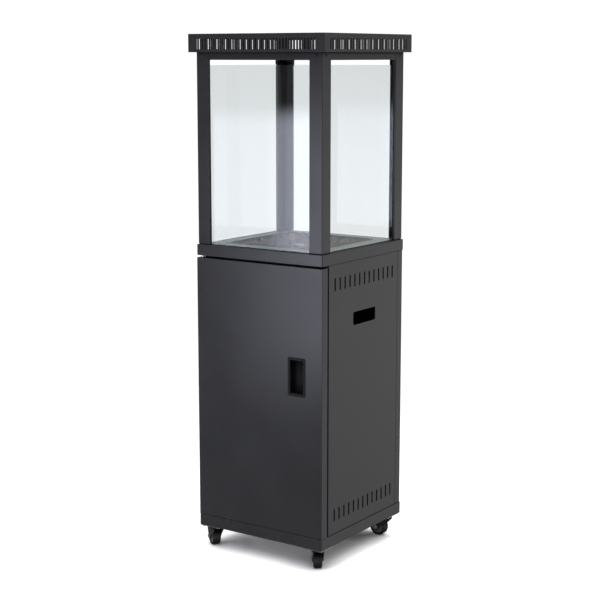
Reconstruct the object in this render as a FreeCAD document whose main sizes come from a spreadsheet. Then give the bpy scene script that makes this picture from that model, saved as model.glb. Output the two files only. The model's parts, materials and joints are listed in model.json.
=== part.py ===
"""Outdoor gas heater: a wheeled bottle cabinet with a door, a burner deck and a glass flame chamber.

Millimetres, +Z up. The origin is on the floor, under the middle of the heater. The door faces -Y and
its pull is towards +X. Every sub-part is one object of the document, and its Label names its file.
"""
import FreeCAD, Part
import Sketcher
import math
import os
import random
import re

doc = FreeCAD.newDocument("outdoor_heater")

# ---------------------------------------------------------------------------------------------------
# Driving dimensions
# ---------------------------------------------------------------------------------------------------
SIZES = {
    # cabinet and deck, seen from above and from the side
    "deck_side": 400, "caster_height": 65, "base_height": 30.5, "door_seam": 1, "door_height": 708,
    "door_depth": 25, "deck_gap": 6.5, "deck_height": 29, "post_height": 502, "rail_height": 19.5,
    "cap_side": 424.6, "cap_height": 47.1, "metal": 1.5, "corner_round": 2.5, "edge_round": 1,
    "seat_radius": 150, "seat_rise": 2,
    # side and back panels
    "jamb_front": 166.5, "jamb_set": 10, "jamb_leg": 6, "jamb_width": 18.5, "seam_back": 172, "seam_gap": 1.5,
    "vent_pitch": 23.6, "vent_width": 6.5, "vent_length": 34, "vent_count": 13,
    "vent_first": 138, "vent_low": 81.5, "vent_high": 693,
    "grip_middle": 4, "grip_width": 110, "grip_length": 35, "grip_height": 591.5, "grip_round": 5,
    # door furniture
    "hinge_left": 188, "hinge_front": 187.5, "hinge_pin": 4, "running": 0.05, "hinge_reach": 14,
    "hinge_side": 18.3, "hinge_metal": 3,
    "pull_middle": 121.5, "pull_level": 453.5, "pull_width": 54, "pull_length": 101, "pull_rim": 6.5,
    "pull_proud": 0.8, "pull_depth": 18, "pull_round": 4,
    "magnet_width": 14, "magnet_proud": 7.3, "magnet_length": 50, "magnet_level": 400,
    # glass chamber
    "post_inset": 3.5, "post_leg": 38.5, "post_lip": 8, "foot_gap": 2.4,
    "glass_inset": 12.5, "glass_thick": 5, "glass_drop": 13.5, "glass_lift": 1.2, "rail_flange": 14,
    # cap
    "slot_pitch": 9.4, "slot_width": 4.2, "slot_length": 27, "slot_count": 40, "slot_middle": 21,
    "cap_return": 17,
    # screws
    "screw_drop": 8.5, "post_screw_head": 2.9, "back_screw_head": 3.5, "screw_head_height": 1.7,
    "screw_shank": 1.5, "back_screw_pitch": 195,
    # burner
    "opening_side": 266, "pan_side": 262, "pan_depth": 46, "pan_rise": 5, "pan_lip": 7, "cover_side": 362,
    "cover_thick": 1, "cover_hole": 8, "cover_pitch": 20, "cover_row": 150, "cover_count": 16,
    "ring_middle": 78, "ring_tube": 8, "ring_level": 12, "inlet_tube": 7, "grate_drop": 24,
    "grate_side": 250, "grate_slot": 12, "grate_web": 20,
    "rock_size": 16, "rock_pitch": 34, "rock_rows": 7,
    "pilot_side": 60, "pilot_front": 92, "pilot_width": 34, "pilot_thick": 18,
    "pilot_height": 26, "pilot_metal": 1, "probe_left": 5, "probe_right": 6, "lead_radius": 1.5,
    # controls behind the door
    "control_front": 146, "control_width": 300, "control_drop": 96, "control_level": 48,
    "control_flange": 12,
    "knob_side": 62, "knob_radius": 21, "knob_depth": 19, "spindle": 4,
    "button_side": 62, "button_radius": 9, "igniter_length": 38,
    "valve_width": 46, "valve_depth": 52, "pipe_radius": 4,
    # casters
    "caster_inset": 32, "plate_side": 60, "plate_thick": 2.5, "plate_holes": 45, "bolt": 3,
    "kingpin": 4, "head_radius": 20, "head_gap": 0.3, "head_height": 8, "trail": 18,
    "wheel_radius": 25, "tyre_width": 22, "hub_radius": 18.5, "hub_width": 24, "axle": 4,
    "fork_gap": 25, "fork_wall": 2.2,
    "turn_front_right": 128, "turn_front_left": 146, "turn_rear_right": 176, "turn_rear_left": 35,
    "pedal_out": 31, "pedal_level": 50.5, "pedal_width": 15, "pedal_pin": 2,
}

sheet = doc.addObject("Spreadsheet::Sheet", "Sizes")
for row, (alias, number) in enumerate(SIZES.items(), 1):
    sheet.set(f"A{row}", alias)
    sheet.set(f"B{row}", str(number))
    sheet.setAlias(f"B{row}", alias)
doc.recompute()

ALIASES = re.compile(r"\b(" + "|".join(SIZES) + r")\b")

# Heights above the floor and half widths as expressions of the sheet; LEVEL is the controls' middle,
# PLATE_LOW, HEAD_TOP and HEAD_LOW belong to the casters
BASE_TOP = "(caster_height + base_height)"
DOOR_BOTTOM = f"({BASE_TOP} + door_seam)"
DOOR_TOP = f"({DOOR_BOTTOM} + door_height)"
DECK_BOTTOM = f"({DOOR_TOP} + deck_gap)"
DECK_TOP = f"({DECK_BOTTOM} + deck_height)"
CAP_BOTTOM = f"({DECK_TOP} + post_height)"
CAP_TOP = f"({CAP_BOTTOM} + cap_height)"
HALF = "(deck_side / 2)"
PANEL = f"({HALF} - metal)"
POST = f"({HALF} - post_inset)"
CAP_HALF = "(cap_side / 2)"
LEVEL = f"({DECK_BOTTOM} - control_level)"
PLATE_LOW = "(caster_height - plate_thick)"
HEAD_TOP = f"({PLATE_LOW} - head_gap)"
HEAD_LOW = f"({HEAD_TOP} - head_height)"


def linked(text):
    """An expression with every alias written as a reference to the sheet."""
    return ALIASES.sub(r"Sizes.\1", str(text))


def number(text):
    """The present value of an expression of the sheet."""
    return float(sheet.evalExpression(linked(text)))


def bind(obj, **properties):
    """Bind properties to expressions; a double underline stands for a dot in a property's path."""
    for path, text in properties.items():
        obj.setExpression(path.replace("__", "."), linked(text))
    return obj


def place(obj, x="0", y="0", z="0", turn="0"):
    """Bind an object's place, and its turn about the vertical, to expressions."""
    obj.Placement = FreeCAD.Placement(FreeCAD.Vector(), FreeCAD.Rotation(FreeCAD.Vector(0, 0, 1), 1))
    bind(obj, Placement__Base__x=x, Placement__Base__y=y, Placement__Base__z=z)
    bind(obj, Placement__Rotation__Angle=turn)
    return obj


# ---------------------------------------------------------------------------------------------------
# Bodies made of sketches and features
# ---------------------------------------------------------------------------------------------------
def new_body(label):
    body = doc.addObject("PartDesign::Body", label)
    body.Label = label
    return body


def sketch(body, role, offset="0"):
    """A sketch on one of the body's own origin planes, moved along that plane's normal."""
    drawing = body.newObject("Sketcher::SketchObject", f"{body.Name}_sketch")
    plane = next(item for item in body.Origin.OriginFeatures if item.Role == role)
    drawing.AttachmentSupport = [(plane, "")]
    drawing.MapMode = "FlatFace"
    drawing.setExpression("AttachmentOffset.Base.z", linked(offset))
    return drawing


def fix(drawing, geometry, point, x, y):
    """Dimension a point of a sketch from the origin, both ways."""
    for kind, axis, text in (("DistanceX", -2, x), ("DistanceY", -1, y)):
        if abs(number(text)) < 1e-9:
            drawing.addConstraint(Sketcher.Constraint("PointOnObject", geometry, point, axis))
        else:
            spacing = Sketcher.Constraint(kind, -1, 1, geometry, point, number(text))
            row = drawing.addConstraint(spacing)
            drawing.setExpression(f"Constraints[{row}]", linked(text))


def loop(drawing, points):
    """A closed outline of straight lines whose corners are dimensioned from the origin."""
    corners = [FreeCAD.Vector(number(x), number(y), 0) for x, y in points]
    first = drawing.GeometryCount
    for start, end in zip(corners, corners[1:] + corners[:1]):
        drawing.addGeometry(Part.LineSegment(start, end))
    for side in range(len(points)):
        after = first + (side + 1) % len(points)
        drawing.addConstraint(Sketcher.Constraint("Coincident", first + side, 2, after, 1))
    for side, (x, y) in enumerate(points):
        fix(drawing, first + side, 1, x, y)
    return drawing


def rectangle(drawing, x_low, x_high, y_low, y_high):
    return loop(drawing, [(x_low, y_low), (x_high, y_low), (x_high, y_high), (x_low, y_high)])


def square(drawing, half):
    return rectangle(drawing, f"-{half}", half, f"-{half}", half)


def circle(drawing, x, y, radius):
    middle = FreeCAD.Vector(number(x), number(y), 0)
    index = drawing.addGeometry(Part.Circle(middle, FreeCAD.Vector(0, 0, 1), number(radius)))
    fix(drawing, index, 3, x, y)
    row = drawing.addConstraint(Sketcher.Constraint("Radius", index, number(radius)))
    drawing.setExpression(f"Constraints[{row}]", linked(radius))
    return drawing


def pad(body, drawing, length, both=False, back=False):
    feature = body.newObject("PartDesign::Pad", f"{body.Name}_pad")
    feature.Profile = drawing
    feature.SideType = "Symmetric" if both else "One side"
    feature.Reversed = back
    return bind(feature, Length=length)


def pocket(body, drawing, length, both=False, outward=False):
    """A cut from the sketch against its normal, along it (outward), or both ways."""
    feature = body.newObject("PartDesign::Pocket", f"{body.Name}_pocket")
    feature.Profile = drawing
    feature.SideType = "Symmetric" if both else "One side"
    feature.Reversed = outward
    return bind(feature, Length=length)


def revolve(body, drawing, axis="V_Axis"):
    feature = body.newObject("PartDesign::Revolution", f"{body.Name}_turned")
    feature.Profile = drawing
    feature.ReferenceAxis = (drawing, [axis])
    feature.Angle = 360
    return feature


def repeat(body, feature, axis, pitch, count):
    """A row of copies of a feature along one of the body's axes."""
    row = body.newObject("PartDesign::LinearPattern", f"{body.Name}_row")
    row.Originals = [feature]
    row.Direction = (next(item for item in body.Origin.OriginFeatures if item.Role == axis), [""])
    row.Mode = "Spacing"
    bind(row, Offset=pitch, Occurrences=count)
    body.Tip = row
    return row


def around(body, feature, count):
    """A ring of copies of a feature about the body's Z axis."""
    ring = body.newObject("PartDesign::PolarPattern", f"{body.Name}_ring")
    ring.Originals = [feature]
    ring.Axis = (next(item for item in body.Origin.OriginFeatures if item.Role == "Z_Axis"), [""])
    ring.Angle = 360
    ring.Occurrences = count
    body.Tip = ring
    return ring


def round_edges(body, feature, radius, wanted):
    """Fillet the edges of a feature that pass a test on their two ends."""
    doc.recompute()
    names = []
    for index, edge in enumerate(feature.Shape.Edges, 1):
        if len(edge.Vertexes) == 2 and wanted(edge.Vertexes[0].Point, edge.Vertexes[1].Point):
            names.append(f"Edge{index}")
    fillet = body.newObject("PartDesign::Fillet", f"{body.Name}_round")
    fillet.Base = (feature, names)
    bind(fillet, Radius=radius)
    return fillet


def upright_outside(half):
    """A test for the four upright edges at the corners of a square of a given half side."""
    reach = number(half)

    def wanted(start, end):
        at_corner = min(abs(abs(start.x) - reach) + abs(abs(start.y) - reach), 1)
        return at_corner < 1e-3 and math.hypot(start.x - end.x, start.y - end.y) < 1e-6
    return wanted


def level_outside(half, height):
    """A test for the level outer edges of a square of a given half side, at one height."""
    reach, level = number(half), number(height)

    def wanted(start, end):
        flat = abs(start.z - level) < 1e-3 and abs(end.z - level) < 1e-3
        outer = all(max(abs(point.x), abs(point.y)) > reach - 1e-3 for point in (start, end))
        return flat and outer
    return wanted


# ---------------------------------------------------------------------------------------------------
# Primitives, booleans and groups
# ---------------------------------------------------------------------------------------------------
def box(label, x, y, z, corner):
    block = doc.addObject("Part::Box", label)
    bind(block, Length=x, Width=y, Height=z)
    return place(block, *corner)


def block_between(label, low, high):
    """A box given by its lowest and highest corners."""
    spans = [f"({top}) - ({bottom})" for bottom, top in zip(low, high)]
    return box(label, *spans, low)


def rod(label, radius, length, start, axis="Z"):
    """A cylinder that leaves a point along one of the positive axes."""
    turns = {"X": ((0, 1, 0), 90), "Y": ((1, 0, 0), -90), "Z": ((0, 0, 1), 0)}
    bar = doc.addObject("Part::Cylinder", label)
    bind(bar, Radius=radius, Height=length)
    direction, angle = turns[axis]
    bar.Placement.Rotation = FreeCAD.Rotation(FreeCAD.Vector(*direction), angle)
    x, y, z = start
    return bind(bar, Placement__Base__x=x, Placement__Base__y=y, Placement__Base__z=z)


def joined(label, pieces):
    whole = doc.addObject("Part::MultiFuse", label)
    whole.Shapes = pieces
    whole.Refine = True
    return whole


def less(label, base, tool):
    rest = doc.addObject("Part::Cut", label)
    rest.Base, rest.Tool = base, tool
    return rest


def group(label, pieces):
    """Several separate solids in one sub-part."""
    whole = doc.addObject("Part::Compound", label)
    whole.Links = pieces
    return whole


PARTS = []


def keep(obj, label):
    obj.Label = label
    PARTS.append(obj)
    return obj


CORNERS = {"front_left": (-1, -1), "front_right": (1, -1), "rear_left": (-1, 1), "rear_right": (1, 1)}


# ---------------------------------------------------------------------------------------------------
# Base and cabinet: folded steel sheets
# ---------------------------------------------------------------------------------------------------
def base_tray():
    """An open tray with a round seat pressed up for the gas bottle; the panels stand in its walls."""
    body = new_body("base_tray")
    outer = pad(body, square(sketch(body, "XY_Plane", "caster_height"), HALF), "base_height")
    round_edges(body, outer, "corner_round", upright_outside(HALF))
    pocket(body, square(sketch(body, "XY_Plane", BASE_TOP), PANEL), "base_height - metal")
    seat = circle(sketch(body, "XY_Plane", "caster_height + metal"), "0", "0", "seat_radius")
    pad(body, seat, "seat_rise")
    below = circle(sketch(body, "XY_Plane", "caster_height"), "0", "0", "seat_radius - metal")
    pocket(body, below, "seat_rise", outward=True)
    holes = sketch(body, "XY_Plane", "caster_height")
    middle, reach = f"({HALF} - caster_inset)", "(plate_holes / 2)"
    for x_side, y_side in CORNERS.values():
        for x_hole in (-1, 1):
            for y_hole in (-1, 1):
                circle(holes, f"{x_side} * {middle} + {x_hole} * {reach}",
                       f"{y_side} * {middle} + {y_hole} * {reach}", "bolt + 0.3")
    pocket(body, holes, "metal * 4", both=True)
    return keep(body, "base_tray")


def side_panel(label, side):
    """A folded side with a jamb angle welded in its front, two rows of vents and a grip hole."""
    body = new_body(label)
    inner, leg = f"({PANEL} - metal)", f"({PANEL} - 2 * metal)"
    jamb, free = "(-jamb_front + jamb_set)", f"({PANEL} - jamb_width)"
    points = [(PANEL, "-jamb_front"), (PANEL, "seam_back"), (inner, "seam_back"),
              (inner, f"{jamb} + jamb_leg"), (leg, f"{jamb} + jamb_leg"), (leg, f"{jamb} + metal"),
              (free, f"{jamb} + metal"), (free, jamb), (inner, jamb), (inner, "-jamb_front")]
    outline = sketch(body, "XY_Plane", "caster_height + metal")
    loop(outline, [(f"{side} * ({x})", y) for x, y in points])
    pad(body, outline, f"{DECK_TOP} - caster_height - 2 * metal")
    across = f"{side} * ({PANEL} - metal / 2)"
    grip = sketch(body, "YZ_Plane", across)
    rectangle(grip, "grip_middle - grip_width / 2", "grip_middle + grip_width / 2",
              "caster_height + grip_height - grip_length / 2",
              "caster_height + grip_height + grip_length / 2")
    hole = pocket(body, grip, "metal * 3", both=True)
    low, high = number("grip_middle - grip_width / 2"), number("grip_middle + grip_width / 2")

    def grip_corner(start, end):
        level = abs(start.z - end.z) < 1e-6 and abs(start.y - end.y) < 1e-6
        return level and min(abs(start.y - low), abs(start.y - high)) < 1e-3
    round_edges(body, hole, "grip_round", grip_corner)
    for height in ("vent_low", "vent_high"):
        vent = sketch(body, "YZ_Plane", across)
        upright_slot(vent, "-vent_first", f"caster_height + {height}", "vent_width", "vent_length")
        repeat(body, pocket(body, vent, "metal * 3", both=True), "Y_Axis", "vent_pitch", "vent_count")
    return keep(body, label)


def upright_slot(drawing, x, y, width, length):
    """A slot with round ends: two half circles and two straight sides."""
    middle_x, middle_y, radius = number(x), number(y), number(width) / 2
    half = number(length) / 2 - radius
    up, flat = FreeCAD.Vector(0, 0, 1), math.pi
    top = FreeCAD.Vector(middle_x, middle_y + half, 0)
    bottom = FreeCAD.Vector(middle_x, middle_y - half, 0)
    side = FreeCAD.Vector(radius, 0, 0)
    upper = drawing.addGeometry(Part.ArcOfCircle(Part.Circle(top, up, radius), 0, flat))
    lower = drawing.addGeometry(Part.ArcOfCircle(Part.Circle(bottom, up, radius), flat, 2 * flat))
    left = drawing.addGeometry(Part.LineSegment(top - side, bottom - side))
    right = drawing.addGeometry(Part.LineSegment(bottom + side, top + side))
    for pair in ((upper, 2, left, 1), (left, 2, lower, 1), (lower, 2, right, 1), (right, 2, upper, 1)):
        drawing.addConstraint(Sketcher.Constraint("Tangent", *pair))
    fix(drawing, upper, 3, x, f"{y} + ({length} - {width}) / 2")
    fix(drawing, lower, 3, x, f"{y} - ({length} - {width}) / 2")
    row = drawing.addConstraint(Sketcher.Constraint("Radius", upper, radius))
    drawing.setExpression(f"Constraints[{row}]", linked(f"{width} / 2"))
    return drawing


def back_panel():
    """The back sheet, folded forward round both rear corners."""
    body = new_body("back_panel")
    inner = f"({PANEL} - metal)"
    flange = "(seam_back + seam_gap)"
    outline = sketch(body, "XY_Plane", "caster_height + metal")
    loop(outline, [(f"-{PANEL}", flange), (f"-{PANEL}", PANEL), (PANEL, PANEL), (PANEL, flange),
                   (inner, flange), (inner, inner), (f"-{inner}", inner), (f"-{inner}", flange)])
    sheet_metal = pad(body, outline, f"{DECK_TOP} - caster_height - 2 * metal")
    round_edges(body, sheet_metal, "metal", upright_outside(PANEL))
    return keep(body, "back_panel")


def deck():
    """The lid of the cabinet: a top sheet with a deep rim and a square burner opening."""
    body = new_body("deck")
    outer = pad(body, square(sketch(body, "XY_Plane", DECK_BOTTOM), HALF), "deck_height")
    uprights = round_edges(body, outer, "corner_round", upright_outside(HALF))
    round_edges(body, uprights, "edge_round", level_outside(f"{HALF} - corner_round", DECK_TOP))
    inside = square(sketch(body, "XY_Plane", f"{DECK_TOP} - metal"), PANEL)
    pocket(body, inside, "deck_height")
    pocket(body, square(sketch(body, "XY_Plane", DECK_TOP), "(opening_side / 2)"), "deck_height")
    return keep(body, "deck")


# ---------------------------------------------------------------------------------------------------
# Door
# ---------------------------------------------------------------------------------------------------
def door_shell():
    """A deep sheet-metal pan with a hole for the pull and bores for the two hinge pins."""
    body = new_body("door_shell")
    # the XZ plane's normal points to -Y, so a positive offset lies in front of the middle
    front = rectangle(sketch(body, "XZ_Plane", HALF), f"-{HALF}", HALF, DOOR_BOTTOM, DOOR_TOP)
    slab = pad(body, front, "door_depth", back=True)

    def face_edge(start, end):
        front_plane = -number(HALF) + 1e-3
        return start.y < front_plane and end.y < front_plane
    round_edges(body, slab, "edge_round", face_edge)
    inside = sketch(body, "XZ_Plane", f"{HALF} - metal")
    rectangle(inside, f"-{PANEL}", PANEL, f"{DOOR_BOTTOM} + metal", f"{DOOR_TOP} - metal")
    pocket(body, inside, "door_depth")
    cup = pull_outline(sketch(body, "XZ_Plane", HALF), "pull_rim - metal - 0.5")
    pocket(body, cup, "metal * 4", both=True)
    bores = circle(sketch(body, "XY_Plane", DOOR_BOTTOM), "-hinge_left", "-hinge_front",
                   "hinge_pin + running")
    pocket(body, bores, "2 * door_height + 20", both=True)
    return keep(body, "door_shell")


def pull_outline(drawing, margin):
    """The pull's upright rectangle, made smaller all round by a margin."""
    level = "(caster_height + pull_level)"
    return rectangle(drawing, f"pull_middle - pull_width / 2 + {margin}",
                     f"pull_middle + pull_width / 2 - ({margin})",
                     f"{level} - pull_length / 2 + {margin}", f"{level} + pull_length / 2 - ({margin})")


def door_liner():
    """The flat sheet that closes the back of the door."""
    back = f"(-{HALF} + door_depth)"
    side = f"({PANEL} - 0.3)"
    liner = block_between("door_liner", (f"-{side}", f"{back} - metal", f"{DOOR_BOTTOM} + metal + 0.3"),
                          (side, back, f"{DOOR_TOP} - metal - 0.3"))
    return keep(liner, "door_liner")


def door_pull_cup():
    """A flush pull: a thin rim on the door's face around a hollow for the fingers."""
    body = new_body("door_pull_cup")
    rim = pull_outline(sketch(body, "XZ_Plane", HALF), "0")
    pad(body, rim, "pull_proud")
    shell = pull_outline(sketch(body, "XZ_Plane", f"{HALF} + pull_proud"), "pull_rim - metal")
    solid = pad(body, shell, "pull_depth + pull_proud", back=True)
    upright = number("pull_proud")

    def rim_corner(start, end):
        through = abs(start.x - end.x) < 1e-6 and abs(start.z - end.z) < 1e-6
        return through and abs(abs(start.y - end.y) - upright) < 1e-3
    round_edges(body, solid, "pull_round", rim_corner)
    hollow = pull_outline(sketch(body, "XZ_Plane", f"{HALF} + pull_proud"), "pull_rim")
    pocket(body, hollow, "pull_depth + pull_proud - metal")
    return keep(body, "door_pull_cup")


def door_hinges():
    """Two pivot brackets on the cabinet's left front corner, one below and one above the door."""
    brackets = []
    upper = f"({DECK_BOTTOM} + 0.5)"
    for name, low, pin_low, pin_high in (
            ("lower", f"{BASE_TOP} - hinge_metal", f"{BASE_TOP} - hinge_metal",
             f"{DOOR_BOTTOM} + hinge_reach"),
            ("upper", upper, f"{DOOR_TOP} - hinge_reach", f"{upper} + hinge_metal")):
        plate = block_between(f"hinge_plate_{name}", (f"-({PANEL} - 0.1)", f"-({PANEL} - 0.1)", low),
                              ("-hinge_left + hinge_side", "-hinge_front + hinge_side",
                               f"{low} + hinge_metal"))
        pin = rod(f"hinge_pin_{name}", "hinge_pin", f"{pin_high} - ({pin_low})",
                  ("-hinge_left", "-hinge_front", pin_low))
        brackets.append(joined(f"hinge_{name}", [plate, pin]))
    return keep(group("door_hinges", brackets), "door_hinges")


def door_magnet():
    """A magnet block on the right jamb that holds the steel door shut."""
    right = f"({PANEL} - 2 * metal - 0.2)"
    level = "(caster_height + magnet_level)"
    strip = block_between("door_magnet",
                          (f"{right} - magnet_width", "-jamb_front - magnet_proud",
                           f"{level} - magnet_length / 2"),
                          (right, "-jamb_front + jamb_set", f"{level} + magnet_length / 2"))
    return keep(strip, "door_magnet")


# ---------------------------------------------------------------------------------------------------
# Glass chamber
# ---------------------------------------------------------------------------------------------------
def post(corner):
    """A folded angle with narrow return lips, standing on an inset foot strip."""
    x_side, y_side = CORNERS[corner]
    body = new_body(f"post_{corner}")
    near, lip = f"({POST} - post_leg)", f"({POST} - post_lip)"
    wall, lip_wall = f"({POST} - metal)", f"({POST} - post_leg + metal)"
    half_outline = [(near, lip), (near, POST)]
    outline = half_outline + [(POST, POST), (POST, near), (lip, near), (lip, lip_wall),
                              (wall, lip_wall), (wall, wall), (lip_wall, wall), (lip_wall, lip)]
    section = sketch(body, "XY_Plane", f"{DECK_TOP} + foot_gap")
    loop(section, [(f"{x_side} * {x}", f"{y_side} * {y}") for x, y in outline])
    angle = pad(body, section, "post_height - foot_gap")
    round_edges(body, angle, "metal", upright_outside(POST))
    foot = sketch(body, "XY_Plane", DECK_TOP)
    foot_inner = f"({lip} + 0.3)"
    foot_outline = [(lip_wall, wall), (wall, wall), (wall, lip_wall), (foot_inner, lip_wall),
                    (foot_inner, foot_inner), (lip_wall, foot_inner)]
    loop(foot, [(f"{x_side} * {x}", f"{y_side} * {y}") for x, y in foot_outline])
    pad(body, foot, "2 * foot_gap")
    return keep(body, f"post_{corner}")


def glass_panes():
    """Four upright panes behind the posts' lips, with a gap left above them for the hot gas."""
    outer, inner = f"({HALF} - glass_inset)", f"({HALF} - glass_inset - glass_thick)"
    low = f"({DECK_TOP} + glass_lift)"
    high = f"({CAP_BOTTOM} - rail_height - glass_drop)"
    end = f"({inner} - 0.5)"
    spans = {"front": ((f"-{outer}", f"-{outer}"), (outer, f"-{inner}")),
             "back": ((f"-{outer}", inner), (outer, outer)),
             "left": ((f"-{outer}", f"-{end}"), (f"-{inner}", end)),
             "right": ((inner, f"-{end}"), (outer, end))}
    for name, (start, stop) in spans.items():
        pane = block_between(f"glass_{name}", (*start, low), (*stop, high))
        keep(pane, f"glass_{name}")


def top_rails():
    """Four folded rails that tie the posts together under the cap."""
    face, low = f"({POST} - 0.5)", f"({CAP_BOTTOM} - rail_height)"
    end = f"({POST} - post_leg - 0.2)"
    rails = []
    for name, y_side in (("front", -1), ("back", 1)):
        bounds = sorted((f"{y_side} * {face}", f"{y_side} * ({face} - metal)"), key=number)
        flange = sorted((f"{y_side} * {face}", f"{y_side} * ({face} - rail_flange)"), key=number)
        upright = block_between(f"rail_face_{name}", (f"-{end}", bounds[0], low),
                                (end, bounds[1], CAP_BOTTOM))
        level = block_between(f"rail_flange_{name}", (f"-{end}", flange[0], f"{CAP_BOTTOM} - metal"),
                              (end, flange[1], CAP_BOTTOM))
        rails.append(joined(f"rail_{name}", [upright, level]))
    for name, x_side in (("left", -1), ("right", 1)):
        bounds = sorted((f"{x_side} * {face}", f"{x_side} * ({face} - metal)"), key=number)
        flange = sorted((f"{x_side} * {face}", f"{x_side} * ({face} - rail_flange)"), key=number)
        upright = block_between(f"rail_face_{name}", (bounds[0], f"-{end}", low),
                                (bounds[1], end, CAP_BOTTOM))
        level = block_between(f"rail_flange_{name}", (flange[0], f"-{end}", f"{CAP_BOTTOM} - metal"),
                              (flange[1], end, CAP_BOTTOM))
        rails.append(joined(f"rail_{name}", [upright, level]))
    return keep(group("top_rails", rails), "top_rails")


def cap():
    """A hollow lid: a top sheet, a slotted rim all round and a return that rests on the posts."""
    body = new_body("cap")
    outer = pad(body, square(sketch(body, "XY_Plane", CAP_BOTTOM), CAP_HALF), "cap_height")
    uprights = round_edges(body, outer, "corner_round", upright_outside(CAP_HALF))
    round_edges(body, uprights, "edge_round", level_outside(f"{CAP_HALF} - corner_round", CAP_TOP))
    inside = square(sketch(body, "XY_Plane", f"{CAP_TOP} - metal"), f"({CAP_HALF} - metal)")
    pocket(body, inside, "cap_height - 2 * metal")
    mouth = square(sketch(body, "XY_Plane", f"{CAP_BOTTOM} + metal"), f"({CAP_HALF} - cap_return)")
    pocket(body, mouth, "metal * 2")
    first = "-slot_pitch * (slot_count - 1) / 2"
    level = f"({CAP_BOTTOM} + slot_middle)"
    for plane, axis in (("XZ_Plane", "X_Axis"), ("YZ_Plane", "Y_Axis")):
        slot = rectangle(sketch(body, plane), f"{first} - slot_width / 2", f"{first} + slot_width / 2",
                         f"{level} - slot_length / 2", f"{level} + slot_length / 2")
        cut = pocket(body, slot, "cap_side + 10", both=True)
        repeat(body, cut, axis, "slot_pitch", "slot_count")
    return keep(body, "cap")


def cap_brackets():
    """An angle inside the top of each post that the cap's return is held down to."""
    angles = []
    for corner, (x_side, y_side) in CORNERS.items():
        body = new_body(f"bracket_{corner}")
        wall, inner = f"({POST} - metal)", f"({POST} - 2 * metal)"
        end = f"({POST} - post_leg + 2 * metal)"
        low = f"({CAP_BOTTOM} - rail_height + 1)"
        section = sketch(body, "XY_Plane", low)
        loop(section, [(f"{x_side} * {x}", f"{y_side} * {y}") for x, y in
                       [(end, wall), (wall, wall), (wall, end), (inner, end), (inner, inner),
                        (end, inner)]])
        pad(body, section, f"{CAP_BOTTOM} - {low}")
        angles.append(body)
    return keep(group("cap_brackets", angles), "cap_brackets")


def screw(label, head_radius, length, at, axis, side):
    """A low round head on a shank; side says which way along the axis the head points."""
    shift = {"X": (1, 0, 0), "Y": (0, 1, 0)}[axis]
    head_low = "0" if side > 0 else "-screw_head_height"
    shank_low = f"-{length}" if side > 0 else "0"
    moved = [[f"{base} + {part} * ({low})" for base, part in zip(at, shift)]
             for low in (head_low, shank_low)]
    head = rod(f"{label}_head", head_radius, "screw_head_height", moved[0], axis)
    stem = rod(f"{label}_shank", "screw_shank", length, moved[1], axis)
    return joined(label, [head, stem])


def frame_screws():
    """Screws through both legs of each post at the top, and down the seams of the back panel."""
    screws = []
    middle, level = f"({POST} - post_leg / 2 + 2)", f"{CAP_BOTTOM} - screw_drop"
    for corner, (x_side, y_side) in CORNERS.items():
        screws.append(screw(f"screw_y_{corner}", "post_screw_head", "4",
                            (f"{x_side} * {middle}", f"{y_side} * {POST}", level), "Y", y_side))
        screws.append(screw(f"screw_x_{corner}", "post_screw_head", "4",
                            (f"{x_side} * {POST}", f"{y_side} * {middle}", level), "X", x_side))
    for side in (-1, 1):
        for step in range(4):
            height = f"caster_height + 90 + {step} * back_screw_pitch"
            screws.append(screw(f"screw_back_{side + 1}_{step}", "back_screw_head", "6",
                                (f"{side} * ({PANEL} - 12)", PANEL, height), "Y", 1))
    return keep(group("frame_screws", screws), "frame_screws")


# ---------------------------------------------------------------------------------------------------
# Burner
# ---------------------------------------------------------------------------------------------------
def burner_cover():
    """A bright steel sheet on the deck with a row of air holes along each side."""
    body = new_body("burner_cover")
    pad(body, square(sketch(body, "XY_Plane", DECK_TOP), "(cover_side / 2)"), "cover_thick")
    pocket(body, square(sketch(body, "XY_Plane", f"{DECK_TOP} + cover_thick"), "(opening_side / 2)"),
           "cover_thick * 2")
    half_run = "cover_pitch * (cover_count - 1) / 2"
    for x_side in (-1, 1):
        row = circle(sketch(body, "XY_Plane", DECK_TOP), f"{x_side} * cover_row", f"-{half_run}",
                     "cover_hole / 2")
        repeat(body, pocket(body, row, "cover_thick * 4", both=True), "Y_Axis", "cover_pitch",
               "cover_count")
        row = circle(sketch(body, "XY_Plane", DECK_TOP), f"-{half_run} + cover_pitch",
                     f"{x_side} * cover_row", "cover_hole / 2")
        repeat(body, pocket(body, row, "cover_thick * 4", both=True), "X_Axis", "cover_pitch",
               "cover_count - 2")
    return keep(body, "burner_cover")


def burner_pan():
    """The dark square pan that holds the burner and the stones; its lip rests on the cover."""
    body = new_body("burner_pan")
    half, inside = "(pan_side / 2)", "(pan_side / 2 - metal)"
    floor = f"({DECK_TOP} + pan_rise - pan_depth)"
    pad(body, square(sketch(body, "XY_Plane", floor), half), "pan_depth")
    lip = square(sketch(body, "XY_Plane", f"{DECK_TOP} + cover_thick"), f"({half} + pan_lip)")
    pad(body, lip, "metal")
    pocket(body, square(sketch(body, "XY_Plane", f"{DECK_TOP} + pan_rise"), inside),
           "pan_depth - metal")
    inlet = circle(sketch(body, "XY_Plane", floor), "0", "0", "inlet_tube + 0.5")
    pocket(body, inlet, "metal * 4", both=True)
    return keep(body, "burner_pan")


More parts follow.
